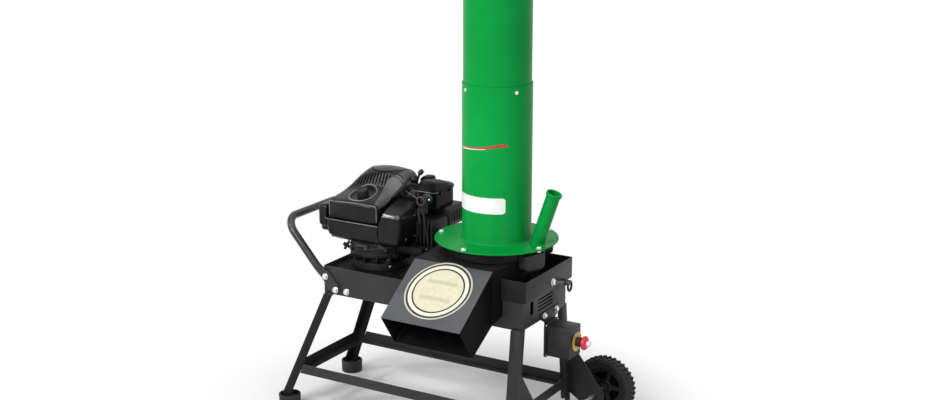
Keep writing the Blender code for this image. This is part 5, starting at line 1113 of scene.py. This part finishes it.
def makeFilter():
    f = airFilter
    low, edge, high, arch = f["low"], f["edge"], f["high"], f["arch"]
    rings = [filterRing(inset, z, bow) for inset, z, bow in ((7, low, 0), (4.4, low + 2, 0), (3, low + 5, 0),
        (2.5, low + 9, 0), (2.5, edge - 6.5, arch), (3.6, edge - 6, arch), (3.6, edge - 4.6, arch),
        (0.4, edge - 4.2, arch), (0, edge - 3.6, arch), (0, edge, arch), (1.2, edge + 5, arch), (5, edge + 11, arch),
        (9.5, edge + 16, arch * 0.8), (15, high - 6, arch / 3), (24, high - 1.6, arch / 8), (34, high, 0))]
    box = loft("air_filter_skin", rings)
    for k in (-1, 0, 1):
        x = (f["left"] + f["right"]) / 2 + k * 13
        groove = [(x, y, edge + rise - k * fall) for y, rise, fall in ((40, 21, 4), (62, 26, 4), (84, 25, 3.6),
            (106, 20, 2.6), (124, 15, 1.6))]
        carve(box, tube("rib", groove, 2.4))
    dress(box, filterBlack, "air_filter", smooth=38)
    # painted highlight: a light grey bead along the filter's rim
    rim = [p for p in filterRing(-0.6, edge - 2, arch) if p[1] < 110 and (p[1] < 40 or p[0] > -270)]
    rim.sort(key=lambda p: p[0] if p[1] < 40 else 1000 + p[1])
    cord("filter_rim_painted_highlight", [(-322, 10, 700), (-316, 10, 712)] + rim, 1.3, paintedEdgeHighlight)
    duct = stack(lambda inset: roundCorners(-334 + inset, -300, 95 + inset, 146 - inset, 9),
        ((0, 690), (0, 730), (1, 735), (3.4, 739), (7, 741.6), (12, 742.6)))
    dress(loft("filter_duct", duct), filterBlack, smooth=45)
    outline = [(f["right"] + out, edge + rise) for out, rise in ((-0.4, -14), (1.6, -14), (2.2, -2), (0.6, 4),
        (-1, 4))]
    for number, y in enumerate((58, 112), 1):  # spring clips that hold the lid on
        clip = slabAcross(f"filter_clip_{number}", outline, y - 6, y + 6)
        softEdges(clip, 0.4, 2)
        dress(clip, filterBlack, smooth=40)


makeTank()
makeShroud()
makeSideCover()
makeFilter()
for node, width, paint, body in (("muffler", 1.5, guardMetal, "frame"), ("starter_grip", 0.0, cover, "starter"),
        ("throttle_lever", 0.4, cover, "throttle"), ("carburettor", 0.5, carbMetal, "frame"),
        ("cylinder_head", 0.4, engineCasting, "frame")):
    dress(copyOf(node, width, 3, 24), paint, node, body=body, smooth=40)

guard = {"x": (-273.0, -216.0), "y": (82.0, 176.0), "corner": 7.0, "ribs": 5, "ribY": 100.0, "pitch": 15.0,
    "ribR": 2.2}


def makeGuard():  # the pressed guard over the muffler, with a row of ribs on its right face
    g = guard
    (x0, x1), (y0, y1) = g["x"], g["y"]
    rings = stack(lambda inset: roundCorners(x0 + inset, x1 - inset, y0 + inset, y1 - inset, g["corner"]),
        ((1.2, 598), (0, 599.4), (0, 650), (0.8, 654.6), (3, 658), (6.4, 659.4)))
    dress(loft("muffler_guard", rings), guardMetal, smooth=45)
    for number in range(g["ribs"]):
        y = g["ribY"] + g["pitch"] * number
        route = [(x1 + out, y, z) for out, z in ((-0.3, 610), (0.4, 616), (0.4, 638), (-0.3, 644))]
        cord(f"guard_rib_{number + 1}", route, g["ribR"], guardMetal)


makeGuard()

fuelCap = {"radius": 18.4, "height": 23.0, "grips": 18}


def makeCap():
    seat, up = capSeat()
    r, h, grips = fuelCap["radius"], fuelCap["height"], fuelCap["grips"]
    profile = [(0, -10), (r - 5.3, -10), (r - 5.3, 0.3), (r - 0.6, 0.3), (r, 0.9), (r, h - 3), (r - 0.8, h - 1),
        (r - 3, h), (r - 5, h - 1.2), (0, h - 1.2)]
    cap = lathe("fuel_cap_skin", profile, seat, up, 72)
    for x, y in ring(r, grips):
        place = turnedTo(seat, up) @ Matrix.Translation((x * mm, y * mm, 0))
        carve(cap, slab("grip", ring(1.5, 8), 3, h + 2, place=place))
    dress(cap, coverMatt, "fuel_cap", body="cap", smooth=35)


makeCap()

case = {"ribs": 14, "ringBolt": -37.5662, "footLeft": -332.0, "footRight": -240.0, "footY": (-42.0, 72.0)}


def makeCrankcase():
    e = engine
    low, top, r, sump = e["deck"] + 0.3, e["low"] - 0.3, e["ringR"], e["sumpR"]
    ringTop, bore, x0 = low + e["ring"], 12.8, e["x"]
    profile = [(bore, low), (r - 0.8, low), (r, low + 0.8), (r, ringTop - 2.4), (r - 0.7, ringTop - 0.7),
        (r - 2.4, ringTop), (r - 13, ringTop), (r - 16, ringTop + 2), (r - 18, ringTop + 8),
        (sump - 10, ringTop + 15), (sump - 2, ringTop + 20), (sump, ringTop + 25), (sump, ringTop + 29),
        (sump - 2, ringTop + 31), (sump - 2, top), (bore, top)]
    dress(lathe("crankcase_skin", profile, (x0, 0, 0), steps=96), engineCasting, "crankcase", smooth=30)
    for number in range(1, 4):
        way = heading(-160 + 120 * number)
        x, y = x0 + (r - 8) * way[0], (r - 8) * way[1]
        profile = [(0, ringTop - 6), (13, ringTop - 6), (13, ringTop + 10.6), (11.8, ringTop + 12), (0, ringTop + 12)]
        dress(lathe(f"mount_lug_{number}", profile, (x, y, 0), steps=40), engineCasting)
        fix(bolt, f"engine_bolt_{number}", (x, y, ringTop + 11.8), (0, 0, 1))
    way = heading(case["ringBolt"])
    fix(bolt, "ring_bolt", (x0 + (r - 0.4) * way[0], (r - 0.4) * way[1], low + 13), way, 0.62)
    x1, y1, y2 = case["footRight"], *case["footY"]
    rings = stack(lambda inset: cornered(case["footLeft"], x1 - inset, y1 + inset, y2 - inset, (1, 12, 12, 1)),
        ((9, 526), (4, 529), (1.4, 533), (0, 538), (0, 553), (1, 553.7)))
    dress(loft("cylinder_foot", rings), engineCasting, smooth=45)
    for number, y in enumerate((-18, 48), 1):
        fix(bolt, f"cylinder_bolt_{number}", (x1 - 0.2, y, 546), (1, 0, 0), 0.7, paint=darkSteel)
    outline = [(r - 19, -1.6), (sump - 1, -1.6), (sump - 1, 1.6), (r - 19, 1.6)]
    for k in range(case["ribs"]):
        turned = turnedTo((x0, 0, 0), (0, 0, 1)) @ Matrix.Rotation(2 * pi * (k + 0.5) / case["ribs"], 4, "Z")
        rib = slab(f"sump_rib_{k + 1}", outline, ringTop + 1, ringTop + 26, place=turned)
        softEdges(rib, 0.8, 2)
        dress(rib, engineCasting)


makeCrankcase()


def helix(start, end, radius, turns):
    a, b = Vector(start), Vector(end)
    way = (b - a).normalized()
    one = way.orthogonal().normalized()
    two = way.cross(one)
    points = []
    for i in range(turns * 12 + 1):
        turn = 2 * pi * i / 12
        points.append(tuple(a + (b - a) * i / (turns * 12) + one * radius * cos(turn) + two * radius * sin(turn)))
    return points


carburettor = {"x": -249.0, "y": -30.6, "z": 703.0, "mouthR": 12.5}


def makeCarburettorFace():
    x, y, z = carburettor["x"], carburettor["y"], carburettor["z"]
    trim = [(x + across, y, z + up) for across, up in ring(carburettor["mouthR"], 48)]
    cord("carburettor_ring", trim, 1.5, coverBand, closed=True, slotName="engine_casting")
    profile = mirrored([(0, -0.6), (8.4, -0.6), (8.8, -0.2)])
    dress(lathe("choke_plate", profile, (x, y + 6, z), (0.25, 1, 0.1), 40), darkSteel, smooth=40)
    for number, hand in enumerate((-1, 1), 1):
        fix(screw, f"carburettor_screw_{number}", (x + hand * 14.5, y + 25, z), (0, -1, 0), 0.7)
    plateAt("choke_lever", [(-3, -3), (3, -3), (4, 20), (2, 24), (-2, 24), (-4, 20)], 2.2, (x - 15, y + 10, z + 6),
        (-0.5, -0.8, 0.2), carbMetal, 0.6)


makeCarburettorFace()


controls = {
    "cords": (  # name, route, radius, paint, sides and, where it isn't the paint's own, the slot
        ("control_strap", [(-352, -38, 700), (-346, -20, 710), (-338, -2, 725), (-331, 12, 742), (-327, 24, 752)],
            3.2, coverMatt, 12, None),
        ("choke_rod", [(-322, -4, 720), (-300, -12, 716), (-280, -14, 708), (-268, -14, 702)], 1.5, darkSteel, 12,
            None),
        ("governor_rod", [(-262, -18, 690), (-268, -14, 664), (-271, -12, 622), (-272, -10, 580)], 2.1, guardMetal,
            12, "engine_casting"),
        ("fuel_pipe", [(-246, -22, 668), (-246, -16, 640), (-244, -10, 604), (-240, -6, 572), (-240, -2, 548)],
            3.4, rubber, 16, None),
        ("governor_spring", helix((-262, -22, 676), (-264, -16, 628), 4.2, 13), 0.7, darkSteel, 8, None),
        ("throttle_wire", [(-486, -78, 556), (-462, -97, 548), (-428, -106, 540), (-392, -106, 546),
            (-352, -92, 552), (-318, -70, 556), (-300, -50, 558)], 1.6, carbMetal, 12, None)),
    "teeth": ((-345, -28, 708), (-338, -12, 719), (-331, 2, 731), (-326, 13, 744)), "toothWay": (0.75, -0.55, 0.35),
    "plate": (-322, -2, 716), "plateWay": (0.7, -0.5, 0.5),
    "bosses": ((-124, 536, 9), (-104, 514, 7), (-84, 544, 8), (-66, 518, 10), (-48, 540, 8), (-30, 520, 9)),
    "arms": ((-136, 552), (-92, 553), (-56, 552)), "armOff": 3.0, "flangeR": 94.0, "flangeZ": 517.0}


def makeControls():  # the governor's levers and rods beside the cover and under the shroud
    c, x0, sump = controls, engine["x"], engine["sumpR"]
    for name, route, radius, paint, sides, slotName in c["cords"]:
        cord(name, route, radius, paint, sides, slotName=slotName)
    for k, centre in enumerate(c["teeth"], 1):
        plateAt(f"control_tooth_{k}", roundCorners(-2.2, 2.2, -7, 9, 1, 2), 9, centre, c["toothWay"], coverMatt)
    plateAt("control_plate", roundCorners(-9, 9, -17, 17, 3, 3), 2.4, c["plate"], c["plateWay"], filterBlack)
    for k, (angle, z, size) in enumerate(c["bosses"], 1):
        way = heading(angle)
        reach = sump - (12 if z < 520 else 0.5)
        centre = (x0 + way[0] * reach, way[1] * reach, z)
        profile = [(0, -8), (size, -8), (size, 4), (size - 1, 5), (size * 0.55, 5), (size * 0.5, 3.6), (0, 3.6)]
        dress(lathe(f"case_boss_{k}", profile, centre, way, 32), engineCasting, smooth=40)
        if k % 2:
            bottom = tuple(centre[i] + way[i] * 4.8 for i in range(3))
            fix(bolt, f"case_bolt_{k}", bottom, way, 0.6, paint=darkSteel)
    arm = [(-24, -5), (0, -5), (20, -3), (24, 0), (20, 3), (0, 5), (-24, 5)]
    for k, (angle, z) in enumerate(c["arms"], 1):
        way, reach = heading(angle), sump + c["armOff"]
        plateAt(f"governor_arm_{k}", arm, 3, (x0 + way[0] * reach, way[1] * reach, z), way, casting)
    cord("case_flange", [(x0 + x, y, c["flangeZ"]) for x, y in ring(c["flangeR"], 72)], 2.6, engineCasting,
        closed=True)


makeControls()
print("engine built")


# Nodes that keep their CAD shape: hidden ones and those that are fine enough as they are

keep = {"bearing_upper": steel, "bearing_lower": steel, "rotor_shaft": steel, "crankshaft": steel,
    "driven_pulley": casting, "drive_pulley": casting, "flywheel": casting, "v_belt": rubber,
    "contact_block": boxPlastic, "plug_boot": rubber, "dipstick": coverMatt}
for node, paint in keep.items():
    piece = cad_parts[node]
    piece.data.materials.clear()
    piece.data.materials.append(paint)
print("other nodes painted")


# Sticker on the chute and the bare label on the tube

sticker = {"radius": 104.5, "thick": 0.35, "along": 0.565, "x": -46.7, "cream": (0.78, 0.75, 0.6),
    "centre": (0.68, 0.64, 0.47), "line": (0.5, 0.49, 0.44), "ink": (0.02, 0.02, 0.02)}


def chutePlane():  # the chute's sloping top: its lower middle, its length as a vector and its three directions
    bend, lip = Vector((0, -177.6, 572.5)), Vector((0, -364.2, 442.5))
    up = (bend - lip).normalized()
    right = Vector((1, 0, 0))
    return lip, bend - lip, right, up, right.cross(up).normalized()


def makeSticker():
    s = sticker
    lip, slope, right, up, out = chutePlane()
    centre = lip + slope * s["along"] + right * s["x"]
    place = facing(right, up, out, centre + out * 0.05)
    disc = slab("chute_sticker", ring(s["radius"], 128), 0.02, s["thick"], place=place)
    p = Paint("sticker")

    def vector(operation, first, output, second=(0, 0, 0)):
        return p.node("ShaderNodeVectorMath", {"operation": operation}, {0: first, 1: second}, output)

    local = vector("SUBTRACT", p.place, "Vector", place.translation)
    along, above = (vector("DOT_PRODUCT", local, "Value", way) * 1000 for way in (right, up))
    r = vector("LENGTH", local, "Value") * 1000

    def band(low, high):
        return r.between(low - 0.5, low + 0.5) * (1 - r.between(high - 0.5, high + 0.5))

    cloud = p.noise(60, 4).between(0.3, 0.7)
    paper = p.mix(cloud, s["cream"], tuple(c * 0.93 for c in s["cream"]))
    middleTone = p.mix(cloud, s["centre"], tuple(c * 0.9 for c in s["centre"]))
    stripes = (1 - (above.size() - 30).size().between(6.5, 7.5)) * (1 - along.size().between(50, 52)) * 0.18
    colour = p.mix(r.between(79, 80), p.mix(stripes, middleTone, s["ink"]), paper)
    inner = band(76.5, 81.5)
    colour = p.mix(inner.maths("MAXIMUM", inner, band(93, 99.5)), colour, s["ink"])
    colour = p.mix(r.between(99.6, 100.4), colour, s["line"])
    p.bump(p.noise(900, 3), 0.05, 0.1)
    dress(disc, p.done(colour=colour, rough=0.36 + p.noise(300, 3) * 0.1, gloss=0.25), slotName="black_paint",
        smooth=20)


labels = {"radius": 104.0, "lift": 0.35, "middle": -96.0, "reach": 79.0, "low": 718.0, "high": 766.0,
    "stripe": 905.0, "stripeMiddle": -88.0, "stripeReach": 73.0}


def film(name, middle, outline, paint, slotName=None):  # a film that lies round the tube, cut to an outline
    r, out = labels["radius"] + 0.05, labels["radius"] + labels["lift"]
    low, high = min(z for x, z in outline) - 2, max(z for x, z in outline) + 2
    piece = lathe(name, [(r, low), (out, low), (out, high), (r, high)], steps=180)
    carve(piece, slab("film_edge", outline, 20, 130, place=facingOut(middle)), operation="INTERSECT")
    dress(piece, paint, slotName=slotName, smooth=30)


def makeLabels():
    s = labels
    p = Paint("bare_label")
    white = p.mix(p.noise(40, 4).between(0.3, 0.7), (0.82, 0.84, 0.82), (0.75, 0.78, 0.75))
    p.bump(p.noise(700, 3), 0.05, 0.1)
    white = p.done(colour=white, rough=0.3 + p.noise(300, 3) * 0.1, gloss=0.25)
    film("tube_label", s["middle"], roundCorners(-s["reach"], s["reach"], s["low"], s["high"], 8), white,
        "green_paint")
    stripeRed = plainPlastic("stripe_red", (0.42, 0.02, 0.012), (0.5, 0.03, 0.02), 0.3)
    stripeWhite = plainPlastic("stripe_white", (0.72, 0.75, 0.72), (0.8, 0.82, 0.8), 0.3)
    r, z = s["stripeReach"], s["stripe"]
    broad = [(-r, z), (0, z + 5), (r, z + 14), (r - 3, z + 24), (0, z + 11), (-r, z + 3)]
    narrow = [(-r, z - 4), (r * 0.2, z + 5), (r * 0.2, z + 7), (-r, z - 0.6)]
    film("tube_stripe", s["stripeMiddle"], broad, stripeRed, "red_plastic")
    film("tube_stripe_edge", s["stripeMiddle"], narrow, stripeWhite, "green_paint")


makeLabels()
makeSticker()
for model in (bolt, screw):
    bpy.data.objects.remove(model)


# Floor, lights and camera

studio = {"floor": (0.94, 0.94, 0.945), "floorSize": 60.0, "plain": (0.42, 0.95), "world": 0.22, "lamps": {
    "key": ((-0.5, -3.8, 3.1), (0, 0, 0.6), 2.0, 150.0), "side": ((3.2, -2.2, 1.9), (0, 0, 0.7), 1.4, 20.0),
    "spark": ((-2.4, -2.4, 3.2), (-0.2, 0, 0.6), 0.55, 34.0), "top": ((0.1, -0.3, 4.2), (0, 0, 0.5), 2.4, 44.0),
    "rim": ((3.2, 0.6, 2.6), (0, 0, 0.7), 0.5, 7.0)}}  # a lamp's place, its target, its size in m and its power in W


def seenDirectly(tree):  # 1 for what the camera sees straight, mirrored or through glass
    rays = tree.nodes.new("ShaderNodeLightPath")
    share = rays.outputs["Is Camera Ray"]
    for name in ("Is Glossy Ray", "Is Transmission Ray"):
        either = tree.nodes.new("ShaderNodeMath")
        either.operation = "MAXIMUM"
        tree.links.new(share, either.inputs[0])
        tree.links.new(rays.outputs[name], either.inputs[1])
        share = either.outputs[0]
    return share


def makeFloor():
    pick()
    bpy.ops.mesh.primitive_grid_add(x_subdivisions=2, y_subdivisions=2, size=studio["floorSize"],
        location=(0, 0, -0.0005))
    floor = bpy.context.object
    floor.name = "floor"
    p = Paint("studio_floor")
    p.shader.inputs["Roughness"].default_value = 0.6
    p.shader.inputs["Specular IOR Level"].default_value = 0.1
    p.done(colour=p.mix(p.noise(3, 2), studio["floor"], tuple(c * 0.995 for c in studio["floor"])))
    away = p.node("ShaderNodeVectorMath", {"operation": "LENGTH"}, {0: p.place}, "Value")
    white = p.node("ShaderNodeEmission", {}, {"Color": (1.0, 1.0, 1.0), "Strength": 1.0})
    share = away.between(*studio["plain"]) * Wire(p, seenDirectly(p.tree))
    mixed = p.node("ShaderNodeMixShader", {}, {0: share, 1: Wire(p, p.shader.outputs[0]), 2: white})
    p.tree.links.new(mixed.socket, p.tree.nodes["Material Output"].inputs["Surface"])
    floor.data.materials.append(p.material)


def makeWorld():
    world = bpy.data.worlds.new("studio")
    bpy.context.scene.world = world
    world.use_nodes = True
    tree = world.node_tree
    back = tree.nodes["Background"]
    back.inputs["Color"].default_value = (1, 1, 1, 1)
    level = tree.nodes.new("ShaderNodeMapRange")
    level.inputs["To Min"].default_value = studio["world"]
    level.inputs["To Max"].default_value = 1.0
    tree.links.new(seenDirectly(tree), level.inputs["Value"])
    tree.links.new(level.outputs[0], back.inputs["Strength"])


def aimAt(thing, name, place, target):
    thing.name = name
    thing.rotation_mode = "QUATERNION"
    thing.rotation_quaternion = (Vector(place) - Vector(target)).to_track_quat("Z", "Y")


def lamp(name, place, target, size, power):
    pick()
    bpy.ops.object.light_add(type="AREA", location=place)
    light = bpy.context.object
    light.data.energy, light.data.size = power, size
    aimAt(light, name, place, target)


makeFloor()
makeWorld()
for name, values in studio["lamps"].items():
    lamp(name, *values)

view = {"from": (2091.8, -3723.3, 1886.0), "at": (-118.9, 0.0, 717.6), "lens": 57.79, "sensor": 36.0, "far": 100.0}
pick()
bpy.ops.object.camera_add(location=spot(*view["from"]))
camera = bpy.context.object
aimAt(camera, "camera", spot(*view["from"]), spot(*view["at"]))
camera.data.lens, camera.data.sensor_width, camera.data.clip_end = view["lens"], view["sensor"], view["far"]
bpy.context.scene.camera = camera
bpy.context.scene.view_settings.view_transform = "Standard"
print("studio set")
